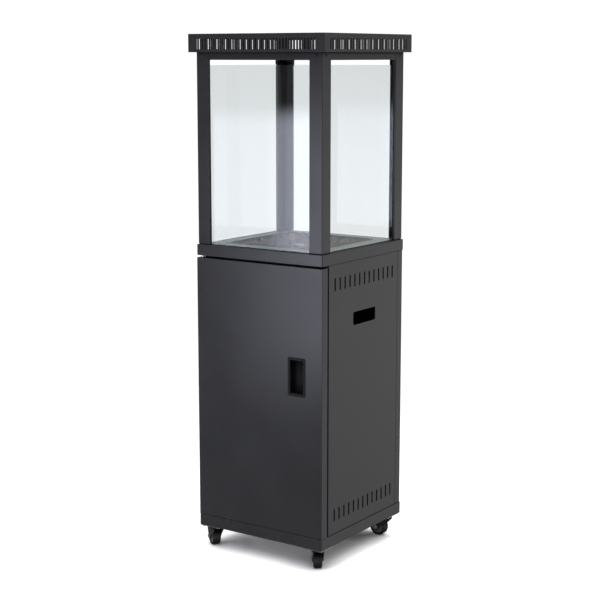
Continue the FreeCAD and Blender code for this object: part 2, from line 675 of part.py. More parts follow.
def burner_ring():
    """A ring of tube with flame ports on top, fed by a cross tube and an upright inlet."""
    level = f"({DECK_TOP} + pan_rise - pan_depth + ring_level)"
    ring = doc.addObject("Part::Torus", "ring_tube_bend")
    bind(ring, Radius1="ring_middle", Radius2="ring_tube")
    place(ring, z=level)
    cross = rod("ring_cross", "inlet_tube", "2 * ring_middle", ("-ring_middle", "0", level), "X")
    inlet = rod("ring_inlet", "inlet_tube", "ring_level + 34", ("0", "0", f"{level} - ring_level - 34"))
    whole = joined("ring_whole", [ring, cross, inlet])
    ports = []
    for step in range(24):
        angle = f"({step} * 15 + 7.5) * 1 deg"
        port = rod(f"port_{step}", "1.6", "ring_tube",
                   (f"ring_middle * cos({angle})", f"ring_middle * sin({angle})", level))
        ports.append(port)
    return keep(less("burner_ring", whole, group("ports", ports)), "burner_ring")


def gas_injector():
    """The brass injector under the burner's inlet, with its cross hole for air."""
    top = f"({DECK_TOP} + pan_rise - pan_depth - 34)"
    hexagon = doc.addObject("Part::Prism", "injector_hexagon")
    hexagon.Polygon = 6
    bind(hexagon, Circumradius="inlet_tube + 3", Height="14")
    place(hexagon, z=f"{top} - 14")
    return keep(hexagon, "gas_injector")


def rock_grate():
    """A slotted steel shelf over the burner that the stones lie on."""
    body = new_body("rock_grate")
    level = f"({DECK_TOP} + pan_rise - grate_drop)"
    pad(body, square(sketch(body, "XY_Plane", f"{level} - metal"), "(grate_side / 2)"), "metal")
    first = "(-grate_web * 5)"
    slot = rectangle(sketch(body, "XY_Plane", level), f"{first} - grate_slot / 2",
                     f"{first} + grate_slot / 2", "-grate_side / 2 + 20", "grate_side / 2 - 20")
    repeat(body, pocket(body, slot, "metal * 4", both=True), "X_Axis", "grate_web", "11")
    return keep(body, "rock_grate")


def rough_stone(middle, size, chance):
    """A closed stone with triangular faces: a ball of twelve corners, each pushed in or out."""
    golden = (1 + math.sqrt(5)) / 2
    corners = []
    for first in (-1, 1):
        for second in (-golden, golden):
            corners += [(0, first, second), (first, second, 0), (second, 0, first)]
    reach = math.hypot(1, golden)
    stretch = [chance.uniform(0.72, 1.0), chance.uniform(0.72, 1.0), chance.uniform(0.6, 0.8)]
    points = []
    for corner in corners:
        length = size * chance.uniform(0.82, 1.0) / reach
        points.append(FreeCAD.Vector(*[middle[i] + corner[i] * length * stretch[i] for i in range(3)]))
    faces = []
    for a in range(12):
        for b in range(a + 1, 12):
            for c in range(b + 1, 12):
                sides = [math.dist(corners[i], corners[j]) for i, j in ((a, b), (b, c), (a, c))]
                if max(sides) < 2.1:
                    faces.append(Part.Face(Part.makePolygon([points[a], points[b], points[c],
                                                             points[a]])))
    stone = Part.Solid(Part.Shell(faces))
    if stone.Volume < 0:
        stone.reverse()
    return stone


def lava_rocks():
    """Loose lava stones in rows on the grate, each of its own shape."""
    chance = random.Random(11)
    rows, pitch, size = int(number("rock_rows")), number("rock_pitch"), number("rock_size")
    level = number(f"{DECK_TOP} + pan_rise - grate_drop")
    stones = []
    for row in range(rows):
        for column in range(rows):
            x = (column - (rows - 1) / 2) * pitch + chance.uniform(-1, 1)
            y = (row - (rows - 1) / 2) * pitch + chance.uniform(-1, 1)
            near_pilot = abs(x - number("pilot_side")) < 34 and abs(y + number("pilot_front")) < 24
            if near_pilot:
                continue
            stones.append(rough_stone((x, y, level + size * 0.82 + 0.2), size, chance))
    pile = doc.addObject("Part::Feature", "lava_rocks")
    pile.Shape = Part.Compound(stones)
    return keep(pile, "lava_rocks")


def pilot_hood():
    """The folded steel hood over the pilot flame, open towards the front and below."""
    floor = f"({DECK_TOP} + pan_rise - grate_drop)"
    x, y = "pilot_side", "-pilot_front"
    body = new_body("pilot_hood")
    outline = rectangle(sketch(body, "XY_Plane", floor), f"{x} - pilot_width / 2",
                        f"{x} + pilot_width / 2", f"{y} - pilot_thick / 2", f"{y} + pilot_thick / 2")
    pad(body, outline, "pilot_height")
    hollow = rectangle(sketch(body, "XY_Plane", f"{floor} + pilot_height - pilot_metal"),
                       f"{x} - pilot_width / 2 + pilot_metal", f"{x} + pilot_width / 2 - pilot_metal",
                       f"{y} - pilot_thick / 2 - pilot_metal", f"{y} + pilot_thick / 2 - pilot_metal")
    pocket(body, hollow, "pilot_height")
    keep(body, "pilot_hood")


def tube_path(points):
    """Straight runs joined by tangent arcs; each arc is as large as its two runs allow."""
    corners = [FreeCAD.Vector(*point) for point in points]
    edges = []
    start = corners[0]
    for before, corner, after in zip(corners, corners[1:], corners[2:]):
        inward, outward = before - corner, after - corner
        back = min(inward.Length, outward.Length) * 0.45
        inward.normalize()
        outward.normalize()
        half_turn = (math.pi - inward.getAngle(outward)) / 2
        radius = back / math.tan(half_turn)
        middle_way = (inward + outward).normalize()
        centre = corner + middle_way * (radius / math.cos(half_turn))
        first, last = corner + inward * back, corner + outward * back
        halfway = centre - middle_way * radius
        edges.append(Part.LineSegment(start, first).toShape())
        edges.append(Part.Arc(first, halfway, last).toShape())
        start = last
    edges.append(Part.LineSegment(start, corners[-1]).toShape())
    return Part.Wire(edges)


def tube(points, radius):
    """A round bar along a path, checked against its section times its length."""
    path = tube_path(points)
    start = FreeCAD.Vector(*points[0])
    way = FreeCAD.Vector(*points[1]) - start
    ring = Part.Wire(Part.Circle(start, way, radius).toShape())
    bar = path.makePipeShell([ring], True, False)
    expected = math.pi * radius ** 2 * path.Length
    if abs(bar.Volume / expected - 1) > 0.01:
        raise SystemExit("a bent tube has the wrong volume")
    return bar


def burner_leads():
    """The electrode with its lead and the thermocouple with its tube, each one piece to the controls."""
    x, y = number("pilot_side"), -number("pilot_front")
    spark_x, probe_x = x - number("probe_left"), x + number("probe_right")
    floor = number(f"{DECK_TOP} + pan_rise - grate_drop")
    wire = number("lead_radius")

    # porcelain through the grate and the pan, a bare tip under the hood, a lead down to the igniter
    foot = floor - 20
    porcelain = Part.makeCylinder(2 * wire, 34, FreeCAD.Vector(spark_x, y, foot))
    tip = Part.makeCylinder(1, 6, FreeCAD.Vector(spark_x, y, foot + 34))
    button = number("button_side")
    barrel_top = number(f"{LEVEL} + button_radius + 3")
    lead_y = number("metal + igniter_length - control_front - 4")
    lead = tube([(spark_x, y, foot), (spark_x, y, foot - 12), (button, lead_y, barrel_top + 10),
                 (button, lead_y, barrel_top - 0.1)], wire)
    electrode = doc.addObject("Part::Feature", "spark_electrode")
    electrode.Shape = porcelain.fuse(tip).fuse(lead)
    keep(electrode, "spark_electrode")

    # a probe beside the pilot flame, and its capillary round behind the valve
    valve_x, level = -number("knob_side"), number(LEVEL)
    valve_back = number("metal + valve_depth - control_front")
    foot = floor - 14
    probe = Part.makeCylinder(1.6 * wire, 30, FreeCAD.Vector(probe_x, y, foot))
    capillary = tube([(probe_x, y, foot), (probe_x, y, foot - 52), (probe_x - 40, y + 28, level - 26),
                      (valve_x + 46, y + 38, level - 22), (valve_x + 8, y + 38, level),
                      (valve_x + 8, valve_back, level)], wire)
    thermocouple = doc.addObject("Part::Feature", "thermocouple")
    thermocouple.Shape = probe.fuse(capillary)
    keep(thermocouple, "thermocouple")


def clear_the_leads():
    """Cut the leads' way through the grate and the pan."""
    for label in ("rock_grate", "burner_pan"):
        body = next(part for part in PARTS if part.Label == label)
        holes = sketch(body, "XY_Plane", f"{DECK_TOP} - pan_depth / 2")
        circle(holes, "pilot_side - probe_left", "-pilot_front", "3 * lead_radius")
        circle(holes, "pilot_side + probe_right", "-pilot_front", "3 * lead_radius")
        pocket(body, holes, "pan_depth * 2", both=True)


# ---------------------------------------------------------------------------------------------------
# Controls behind the door
# ---------------------------------------------------------------------------------------------------
def control_plate():
    """The folded sheet under the deck that carries the valve and the igniter."""
    face = "(-control_front)"
    low = f"({LEVEL} - control_drop / 2)"
    top = f"({DECK_TOP} - metal)"
    body = new_body("control_plate")
    outline = sketch(body, "YZ_Plane", "0")
    loop(outline, [(face, low), (face, top), (f"{face} + control_flange", top),
                   (f"{face} + control_flange", f"{top} - metal"),
                   (f"{face} + metal", f"{top} - metal"), (f"{face} + metal", low)])
    pad(body, outline, "control_width", both=True)
    holes = sketch(body, "XZ_Plane", "control_front")
    circle(holes, "-knob_side", LEVEL, "spindle + 3")
    circle(holes, "button_side", LEVEL, "button_radius + 1")
    pocket(body, holes, "metal * 4", both=True)
    return keep(body, "control_plate")


def gas_valve():
    """A cast valve body with a bore for its spindle, a side outlet and a bottom inlet."""
    back = "(-control_front + metal)"
    half = "(valve_width / 2)"
    x = "(-knob_side)"
    block = block_between("valve_block", (f"{x} - {half}", back, f"{LEVEL} - {half}"),
                          (f"{x} + {half}", f"{back} + valve_depth - 8", f"{LEVEL} + {half}"))
    rear = rod("valve_rear", "15", "8", (x, f"{back} + valve_depth - 8", LEVEL), "Y")
    outlet = rod("valve_outlet", "8", "12", (f"{x} + {half}", f"{back} + valve_depth / 2", LEVEL), "X")
    inlet = rod("valve_inlet", "9", "14", (x, f"{back} + valve_depth / 2", f"{LEVEL} - {half} - 14"))
    whole = joined("valve_whole", [block, rear, outlet, inlet])
    bore = rod("valve_bore", "spindle + running", "30", (x, f"{back} - 1", LEVEL), "Y")
    return keep(less("gas_valve", whole, bore), "gas_valve")


def spindle_and_knob():
    """The valve's spindle slides in to free the tap; the knob turns on the spindle's end."""
    front = "(-control_front - knob_depth - 6)"
    x = "(-knob_side)"
    spindle = rod("valve_spindle", "spindle", "knob_depth + 6 + 14", (x, f"{front} + 4", LEVEL), "Y")
    keep(spindle, "valve_spindle")
    body = new_body("control_knob")
    # turned about the body's own Z axis, then laid along Y by its placement
    profile = sketch(body, "XZ_Plane")
    loop(profile, [("spindle + running", "0"), ("knob_radius", "0"), ("knob_radius", "3"),
                   ("knob_radius - 3", "5"), ("knob_radius - 4", "knob_depth - 2"),
                   ("knob_radius - 6", "knob_depth"), ("0", "knob_depth"), ("0", "knob_depth - 3.7"),
                   ("spindle + running", "knob_depth - 3.7")])
    revolve(body, profile)
    flute = circle(sketch(body, "XY_Plane", "5"), "knob_radius", "0", "4.5")
    around(body, pocket(body, flute, "knob_depth", outward=True), 12)
    body.Placement = FreeCAD.Placement(FreeCAD.Vector(), FreeCAD.Rotation(FreeCAD.Vector(1, 0, 0), 90))
    bind(body, Placement__Base__x=x, Placement__Base__y=f"{front} + knob_depth", Placement__Base__z=LEVEL)
    return keep(body, "control_knob")


def igniter():
    """A piezo igniter behind the plate with the push button that works it."""
    x, face = "button_side", "(-control_front)"
    barrel = rod("igniter_barrel", "button_radius + 3", "igniter_length",
                 (x, f"{face} + metal", LEVEL), "Y")
    collar = rod("igniter_collar", "button_radius + 0.8", "10", (x, f"{face} - 4", LEVEL), "Y")
    bore = rod("igniter_bore", "button_radius - 2", "28", (x, f"{face} - 5", LEVEL), "Y")
    whole = joined("igniter_whole", [barrel, collar])
    keep(less("igniter_body", whole, bore), "igniter_body")
    cap_disc = rod("button_cap", "button_radius", "4", (x, f"{face} - 14", LEVEL), "Y")
    stem = rod("button_stem", "button_radius - 2 - running", "24", (x, f"{face} - 12", LEVEL), "Y")
    keep(joined("igniter_button", [cap_disc, stem]), "igniter_button")


def gas_pipe():
    """The bent copper pipe from the valve's side outlet to the injector."""
    half = number("valve_width / 2")
    start = (-number("knob_side") + half + 12, -number("control_front") + number("metal")
             + number("valve_depth") / 2, number(LEVEL))
    end_level = number(f"{DECK_TOP} + pan_rise - pan_depth") - 34 - 14
    low_level = end_level - 60
    points = [start, (start[0] + 50, start[1], start[2]), (44, -72, low_level), (0, 0, low_level),
              (0, 0, end_level)]
    pipe = doc.addObject("Part::Feature", "gas_pipe")
    pipe.Shape = tube(points, number("pipe_radius"))
    return keep(pipe, "gas_pipe")


def hose_tail():
    """The brass tail under the valve that the bottle's hose is pushed on to."""
    body = new_body("hose_tail")
    profile = sketch(body, "XZ_Plane")
    loop(profile, [("0", "0"), ("4", "0"), ("4", "24"), ("8", "24"), ("8", "34"), ("0", "34")])
    revolve(body, profile)
    place(body, "-knob_side", "-control_front + metal + valve_depth / 2",
          f"{LEVEL} - valve_width / 2 - 14 - 34")
    return keep(body, "hose_tail")


def tilt_switch():
    """The switch box low on the back panel that shuts the gas when the heater tips."""
    inner = f"({PANEL} - metal)"
    switch = block_between("tilt_switch", ("-17", f"{inner} - 26", "caster_height + 60"),
                           ("17", inner, "caster_height + 100"))
    return keep(switch, "tilt_switch")


# ---------------------------------------------------------------------------------------------------
# Casters
# ---------------------------------------------------------------------------------------------------
def caster_plates():
    """The zinc top plates with their kingpins, one at each corner of the base."""
    plates = []
    for corner, (x_side, y_side) in CORNERS.items():
        x, y = f"{x_side} * ({HALF} - caster_inset)", f"{y_side} * ({HALF} - caster_inset)"
        body = new_body(f"plate_{corner}")
        pad(body, square(sketch(body, "XY_Plane", PLATE_LOW), "(plate_side / 2)"), "plate_thick")
        pin = circle(sketch(body, "XY_Plane", f"{HEAD_LOW} - 0.3"), "0", "0", "kingpin")
        pad(body, pin, f"{PLATE_LOW} - {HEAD_LOW} + 0.3")
        rivet = circle(sketch(body, "XY_Plane", f"{HEAD_LOW} - 3"), "0", "0", "kingpin + 3")
        pad(body, rivet, "2.7")
        holes = sketch(body, "XY_Plane", PLATE_LOW)
        for x_hole in (-1, 1):
            for y_hole in (-1, 1):
                circle(holes, f"{x_hole} * plate_holes / 2", f"{y_hole} * plate_holes / 2",
                       "bolt + 0.3")
        pocket(body, holes, "plate_thick * 4", both=True)
        place(body, x, y)
        plates.append(body)
    return keep(group("caster_plates", plates), "caster_plates")


def caster_screws():
    """Four screws through each caster plate, with their heads below and nuts in the tray."""
    screws = []
    for corner, (x_side, y_side) in CORNERS.items():
        for x_hole in (-1, 1):
            for y_hole in (-1, 1):
                x = f"{x_side} * ({HALF} - caster_inset) + {x_hole} * plate_holes / 2"
                y = f"{y_side} * ({HALF} - caster_inset) + {y_hole} * plate_holes / 2"
                name = f"caster_screw_{corner}_{x_hole + 1}_{y_hole + 1}"
                head = rod(f"{name}_head", "bolt + 2.2", "2.5", (x, y, f"{PLATE_LOW} - 2.5"))
                shank = rod(f"{name}_shank", "bolt", "plate_thick + 12", (x, y, f"{PLATE_LOW} - 1"))
                nut = doc.addObject("Part::Prism", f"{name}_nut")
                nut.Polygon = 6
                bind(nut, Circumradius="bolt * 1.9", Height="5")
                place(nut, x, y, "caster_height + metal")
                screws.append(joined(name, [head, shank, nut]))
    return keep(group("caster_screws", screws), "caster_screws")


def caster(corner):
    """One caster: a fork that swivels on the kingpin, and a wheel that turns on its bolt."""
    x_side, y_side = CORNERS[corner]
    x, y = f"{x_side} * ({HALF} - caster_inset)", f"{y_side} * ({HALF} - caster_inset)"
    turn = f"turn_{corner}"
    wheel_x = f"{x} + trail * cos({turn} * 1 deg)"
    wheel_y = f"{y} + trail * sin({turn} * 1 deg)"
    outer = "(fork_gap + 2 * fork_wall)"

    fork = new_body(f"caster_fork_{corner}")
    cheek = sketch(fork, "XZ_Plane")
    loop(cheek, [("-head_radius + 3", f"{HEAD_LOW} + 2"), ("-head_radius + 4", f"{HEAD_LOW} - 6"),
                 ("trail - 8", "wheel_radius - 3"), ("trail - 4", "wheel_radius - 8"),
                 ("trail + 4", "wheel_radius - 8"), ("trail + 8", "wheel_radius - 2"),
                 ("pedal_out + 5", "pedal_level - 5"), ("pedal_out + 5", "pedal_level + 3.5"),
                 ("head_radius + 1", HEAD_LOW), ("head_radius - 1", f"{HEAD_LOW} + 2")])
    pad(fork, cheek, outer, both=True)
    head = sketch(fork, "XZ_Plane")
    loop(head, [("0", HEAD_LOW), ("head_radius - 1", HEAD_LOW), ("head_radius", f"{HEAD_LOW} + 3"),
                ("head_radius - 1.5", f"{HEAD_TOP} - 1"), ("head_radius - 4", HEAD_TOP),
                ("0", HEAD_TOP)])
    revolve(fork, head)
    gap = sketch(fork, "XZ_Plane")
    rectangle(gap, "-head_radius - 5", "head_radius + 2 * trail", "0", HEAD_LOW)
    pocket(fork, gap, "fork_gap", both=True)
    bore = circle(sketch(fork, "XY_Plane", HEAD_LOW), "0", "0", "kingpin + running")
    pocket(fork, bore, "head_height * 3", both=True)
    axle_hole = circle(sketch(fork, "XZ_Plane"), "trail", "wheel_radius", "axle + running")
    pocket(fork, axle_hole, "fork_gap * 3", both=True)
    if corner.startswith("rear"):
        pin_hole = circle(sketch(fork, "XZ_Plane"), "pedal_out", "pedal_level",
                          "pedal_pin + running")
        pocket(fork, pin_hole, "fork_gap * 3", both=True)
    keep(place(fork, x, y, turn=turn), f"caster_fork_{corner}")

    axle = new_body(f"caster_axle_{corner}")
    pad(axle, circle(sketch(axle, "XZ_Plane"), "0", "0", "axle"), f"{outer} + 2", both=True)
    for side in (-1, 1):
        hexagon = sketch(axle, "XZ_Plane", f"{side} * ({outer} / 2 + 0.1)")
        spread = [(f"1.6 * axle * cos({60 * step} * 1 deg)", f"1.6 * axle * sin({60 * step} * 1 deg)")
                  for step in range(6)]
        loop(hexagon, spread)
        pad(axle, hexagon, "3.2", back=side < 0)
    keep(place(axle, wheel_x, wheel_y, "wheel_radius", turn), f"caster_axle_{corner}")

    tyre = new_body(f"caster_tyre_{corner}")
    band = sketch(tyre, "XZ_Plane")
    circle(band, "0", "0", "wheel_radius")
    circle(band, "0", "0", "hub_radius")
    ring = pad(tyre, band, "tyre_width", both=True)
    doc.recompute()
    outer_edges = [f"Edge{index}" for index, edge in enumerate(ring.Shape.Edges, 1)
                   if hasattr(edge.Curve, "Radius") and edge.Curve.Radius > number("hub_radius") + 1]
    soft = tyre.newObject("PartDesign::Fillet", f"{tyre.Name}_round")
    soft.Base = (ring, outer_edges)
    soft.Radius = 3.5
    keep(place(tyre, wheel_x, wheel_y, "wheel_radius", turn), f"caster_tyre_{corner}")

    hub = new_body(f"caster_hub_{corner}")
    profile = sketch(hub, "YZ_Plane")
    half = "(hub_width / 2)"
    loop(profile, [(f"-{half}", "axle + running"), (half, "axle + running"), (half, "axle + 3.5"),
                   (f"{half} - 5", "axle + 5"), (f"{half} - 5", "hub_radius - 4"),
                   (f"{half} - 2", "hub_radius - 3"), (f"{half} - 2", "hub_radius"),
                   (f"-{half} + 2", "hub_radius"), (f"-{half} + 2", "hub_radius - 3"),
                   (f"-{half} + 5", "hub_radius - 4"), (f"-{half} + 5", "axle + 5"),
                   (f"-{half}", "axle + 3.5")])
    revolve(hub, profile, "H_Axis")
    keep(place(hub, wheel_x, wheel_y, "wheel_radius", turn), f"caster_hub_{corner}")

    if corner.startswith("rear"):
        pedal = new_body(f"brake_pedal_{corner}")
        lever = sketch(pedal, "XZ_Plane")
        loop(lever, [("-4", "-1"), ("3", "-3.5"), ("6", "-5"), ("9", "-1.5"), ("24", "4"),
                     ("24", "6.5"), ("6", "4.5"), ("-3", "3.5")])
        pad(pedal, lever, "pedal_width", both=True)
        pin = circle(sketch(pedal, "XZ_Plane"), "0", "0", "pedal_pin")
        pad(pedal, pin, outer, both=True)
        pedal_x = f"{x} + pedal_out * cos({turn} * 1 deg)"
        pedal_y = f"{y} + pedal_out * sin({turn} * 1 deg)"
        keep(place(pedal, pedal_x, pedal_y, "pedal_level", turn), f"brake_pedal_{corner}")


# ---------------------------------------------------------------------------------------------------
# Build, check and write
# ---------------------------------------------------------------------------------------------------
base_tray()
side_panel("left_side_panel", -1)
side_panel("right_side_panel", 1)
back_panel()
deck()
door_shell()
door_liner()
door_pull_cup()
door_hinges()
door_magnet()
for name in CORNERS:
    post(name)
glass_panes()
top_rails()
cap()
cap_brackets()
frame_screws()
burner_cover()
burner_pan()
burner_ring()
gas_injector()
rock_grate()
lava_rocks()
pilot_hood()
burner_leads()
clear_the_leads()
control_plate()
gas_valve()
spindle_and_knob()
igniter()
gas_pipe()
hose_tail()
tilt_switch()
caster_plates()
caster_screws()
for name in CORNERS:
    caster(name)

doc.recompute()
faults = []
for obj in doc.Objects:
    if {"Invalid", "Error"} & set(obj.State):
        faults.append(f"{obj.Name}: {obj.State} {obj.getStatusString()}")
    if obj.TypeId == "PartDesign::Pocket" and obj.BaseFeature:
        if obj.Shape.Volume > obj.BaseFeature.Shape.Volume - 1e-3:
            faults.append(f"{obj.Name}: the pocket cuts nothing")
for part in PARTS:
    if part.Shape.isNull() or not part.Shape.isValid() or not part.Shape.Solids:
        faults.append(f"{part.Label}: its shape is null, invalid or has no solid")
if faults:
    raise SystemExit("\n".join(faults))

os.makedirs("parts", exist_ok=True)
for part in PARTS:
    part.Shape.exportStep(f"parts/{part.Label}.step")
print(len(PARTS), "sub-parts")
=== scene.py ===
"""Outdoor gas heater: the finishes and the fine pieces round the frame, in metres, +Z up, door at -Y."""
import json
import math
import bpy
import numpy as np
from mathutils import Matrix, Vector


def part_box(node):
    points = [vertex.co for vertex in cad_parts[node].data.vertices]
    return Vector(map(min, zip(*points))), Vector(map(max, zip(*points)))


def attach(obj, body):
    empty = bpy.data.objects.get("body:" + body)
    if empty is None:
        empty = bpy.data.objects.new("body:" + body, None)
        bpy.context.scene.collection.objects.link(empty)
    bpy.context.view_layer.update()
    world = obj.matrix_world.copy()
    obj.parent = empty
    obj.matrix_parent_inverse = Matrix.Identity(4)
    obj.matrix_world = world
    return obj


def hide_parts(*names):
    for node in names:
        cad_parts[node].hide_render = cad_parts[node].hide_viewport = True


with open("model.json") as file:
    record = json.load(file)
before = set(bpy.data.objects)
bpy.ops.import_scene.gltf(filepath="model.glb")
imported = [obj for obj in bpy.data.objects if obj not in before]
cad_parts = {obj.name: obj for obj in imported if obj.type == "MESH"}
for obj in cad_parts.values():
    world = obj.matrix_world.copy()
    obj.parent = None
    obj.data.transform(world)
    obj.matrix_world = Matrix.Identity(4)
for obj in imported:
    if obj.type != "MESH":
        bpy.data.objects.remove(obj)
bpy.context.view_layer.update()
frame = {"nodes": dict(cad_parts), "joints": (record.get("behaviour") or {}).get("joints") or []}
nodes = frame["nodes"]

# --- Sheet metal: tray, cabinet, deck, posts, rails and cap ------------------------------------------
# Sheet steel of 1.5 mm, folded and spot welded, then sprayed with satin anthracite powder and baked. The
# powder melts into a fine orange peel, thins over the folds and picks up a little dust on level faces.
# Narrow nooks get painted shade: ambient occlusion darkens the colour there and makes it rougher.


def put(tree, kind, inputs=None, **settings):
    """A shader node with its settings, and its inputs set to plain values or linked to sockets."""
    made = tree.nodes.new("ShaderNode" + kind)
    for name, value in settings.items():
        setattr(made, name, value)
    for name, value in (inputs or {}).items():
        if isinstance(value, bpy.types.NodeSocket):
            tree.links.new(value, made.inputs[name])
        else:
            made.inputs[name].default_value = value
    return made


def value(tree, operation, *inputs):
    """The result of one arithmetic step on numbers or sockets."""
    return put(tree, "Math", dict(enumerate(inputs)), operation=operation).outputs[0]


def blend_colour(tree, share, first, second):
    """A colour between two, by a share from 0 to 1."""
    made = put(tree, "Mix", {0: share, 6: first, 7: second}, data_type="RGBA")
    return made.outputs[2]


def between(tree, amount, low, high, to_low=0.0, to_high=1.0):
    """A number carried from one range into another, and held inside it."""
    ranges = {"From Min": low, "From Max": high, "To Min": to_low, "To Max": to_high}
    return put(tree, "MapRange", {"Value": amount, **ranges}).outputs[0]


def scaled(tree, colour, factor):
    """A colour or a vector times a number."""
    return put(tree, "VectorMath", {0: colour, "Scale": factor}, operation="SCALE").outputs[0]


# the mask for painted shade: the coat and the moulded skin are darkened by it, and it cuts the floor's glow
# into a painted shadow
def painted_shade_share(tree, reach, samples, start, full):
    """How shut in a point is: 0 where the open share of its sky is over start, 1 where it is under full."""
    open_sky = put(tree, "AmbientOcclusion", {"Distance": reach}, samples=samples).outputs["AO"]
    return between(tree, open_sky, start, full)


def fold_mask(tree, radius, start, full):
    """The normal rounded off at edges, and the share of fold: it grows as the cosine between that normal
    and the face's own falls from start to full."""
    rounded = put(tree, "Bevel", {"Radius": radius}, samples=4).outputs[0]
    face = put(tree, "NewGeometry").outputs["Normal"]
    cosine = put(tree, "VectorMath", {0: rounded, 1: face}, operation="DOT_PRODUCT").outputs["Value"]
    return rounded, between(tree, cosine, start, full)


def relief(tree, height, depth, strength, normal):
    """A normal tilted by the slope of a height."""
    sockets = {"Height": height, "Distance": depth, "Strength": strength, "Normal": normal}
    return put(tree, "Bump", sockets).outputs[0]


def noise(tree, where, scale, detail=2.0, rough=0.5):
    """Cloudy numbers round 0.5; scale counts the clouds in a metre."""
    made = put(tree, "TexNoise", {"Vector": where, "Scale": scale, "Detail": detail, "Roughness": rough})
    return made.outputs["Fac"]


def new_group(name, inputs, outputs):
    """An empty shader group, and its two end nodes; each socket is a name with its type."""
    tree = bpy.data.node_groups.new(name, "ShaderNodeTree")
    for sockets, side in ((inputs, "INPUT"), (outputs, "OUTPUT")):
        for socket, kind in sockets.items():
            tree.interface.new_socket(name=socket, in_out=side, socket_type="NodeSocket" + kind)
    return tree, tree.nodes.new("NodeGroupInput").outputs, tree.nodes.new("NodeGroupOutput").inputs


ENDS = {"Colour": "Base Color", "Roughness": "Roughness", "Normal": "Normal"}


def finish(name, shader, group=None, **values):
    """A material: plain values on its shader, and a group's colour, roughness and normal linked in."""
    material = bpy.data.materials.new(name)
    material.use_nodes = True
    tree = material.node_tree
    principled = tree.nodes["Principled BSDF"]
    for socket, setting in shader.items():
        principled.inputs[socket].default_value = setting
    if group:
        effect = put(tree, "Group", node_tree=group)
        for socket, setting in values.items():
            effect.inputs[socket.replace("_", " ")].default_value = setting
        for output in effect.outputs:
            tree.links.new(output, principled.inputs[ENDS[output.name]])
    return material


def dress(material, *names):
    """Give CAD nodes a material, in every slot they have."""
    for name in names:
        mesh = nodes[name].data
        if not mesh.materials:
            mesh.materials.append(material)
        for slot in range(len(mesh.materials)):
            mesh.materials[slot] = material


coat, given, result = new_group(
    "sprayed powder", {"Powder": "Color", "Thin powder": "Color", "Dust": "Color", "Peel": "Float",
                       "Dullness": "Float", "Dusting": "Float"},
    {"Colour": "Color", "Roughness": "Float", "Normal": "Vector"})
where = put(coat, "TexCoord").outputs["Object"]
soft_edge, on_fold = fold_mask(coat, 0.0009, 0.995, 0.88)
patches = noise(coat, where, 7.0, 3.0)
mottle = noise(coat, where, 260.0, 3.0, 0.6)
level = put(coat, "SeparateXYZ", {0: put(coat, "NewGeometry").outputs["Normal"]}).outputs[2]
drifts = between(coat, noise(coat, where, 23.0, 6.0), 0.35, 0.75)
settled = value(coat, "MULTIPLY", between(coat, level, 0.6, 0.95), drifts)
settled = value(coat, "MULTIPLY", settled, given["Dusting"])
colour = blend_colour(coat, value(coat, "MULTIPLY", on_fold, 0.55), given["Powder"], given["Thin powder"])
cloudy = between(coat, patches, 0.25, 0.75, 0.9, 1.1)
shade = value(coat, "MULTIPLY", cloudy, between(coat, mottle, 0.3, 0.7, 0.92, 1.08))
colour = blend_colour(coat, settled, scaled(coat, colour, shade), given["Dust"])
# painted shade: where ambient occlusion finds a narrow nook, the powder's colour is darkened by up to 85 per
# cent and its roughness raised
painted_shade = painted_shade_share(coat, 0.006, 16, 0.93, 0.7)
left = value(coat, "SUBTRACT", 1.0, value(coat, "MULTIPLY", painted_shade, 0.85))
coat.links.new(scaled(coat, colour, left), result["Colour"])
dull = value(coat, "ADD", given["Dullness"], between(coat, patches, 0.3, 0.7, -0.03, 0.04))
dull = value(coat, "ADD", dull, value(coat, "MULTIPLY", settled, 0.3))
dull = value(coat, "ADD", dull, value(coat, "MULTIPLY", painted_shade, 0.55))
coat.links.new(dull, result["Roughness"])
fine_peel = value(coat, "MULTIPLY", noise(coat, where, 1100.0), 0.25)
peel = value(coat, "ADD", noise(coat, where, 300.0, 1.0), fine_peel)
coat.links.new(relief(coat, peel, given["Peel"], 0.6, soft_edge), result["Normal"])

anthracite = finish(
    "anthracite_powder", {"Metallic": 0.0, "IOR": 1.5}, coat, Powder=(0.021, 0.021, 0.0235, 1),
    Thin_powder=(0.055, 0.055, 0.062, 1), Dust=(0.12, 0.12, 0.12, 1), Peel=0.000006, Dullness=0.32,
    Dusting=0.12)
dress(anthracite, "base_tray", "left_side_panel", "right_side_panel", "back_panel", "deck", "door_shell",
      "post_front_left", "post_front_right", "post_rear_left", "post_rear_right", "top_rails", "cap")
inner_powder = finish(
    "inner_powder", {"Metallic": 0.0}, coat, Powder=(0.03, 0.03, 0.032, 1),
    Thin_powder=(0.06, 0.06, 0.06, 1), Dust=(0.14, 0.13, 0.12, 1), Peel=0.00006, Dullness=0.5, Dusting=0.4)
dress(inner_powder, "door_liner", "control_plate")

# --- Door furniture ------------------------------------------------------------------------------------
# The pull is one moulding in glass-filled nylon, snapped into the door; its skin has the fine grain of
# an eroded mould, and its hollows get painted shade, darker and duller. The pivots are zinc-plated plates
# with turned pins, and the magnet is bonded ferrite.
grain, given, result = new_group(
    "moulded skin", {"Plastic": "Color", "Rubbed": "Color", "Grain": "Float", "Coarseness": "Float",
                     "Dullness": "Float"},
    {"Colour": "Color", "Roughness": "Float", "Normal": "Vector"})
where = put(grain, "TexCoord").outputs["Object"]
soft_edge, on_edge = fold_mask(grain, 0.0006, 0.995, 0.85)
handled = value(grain, "MULTIPLY", on_edge, between(grain, noise(grain, where, 60.0, 4.0), 0.35, 0.7))
colour = blend_colour(grain, value(grain, "MULTIPLY", handled, 0.6), given["Plastic"], given["Rubbed"])
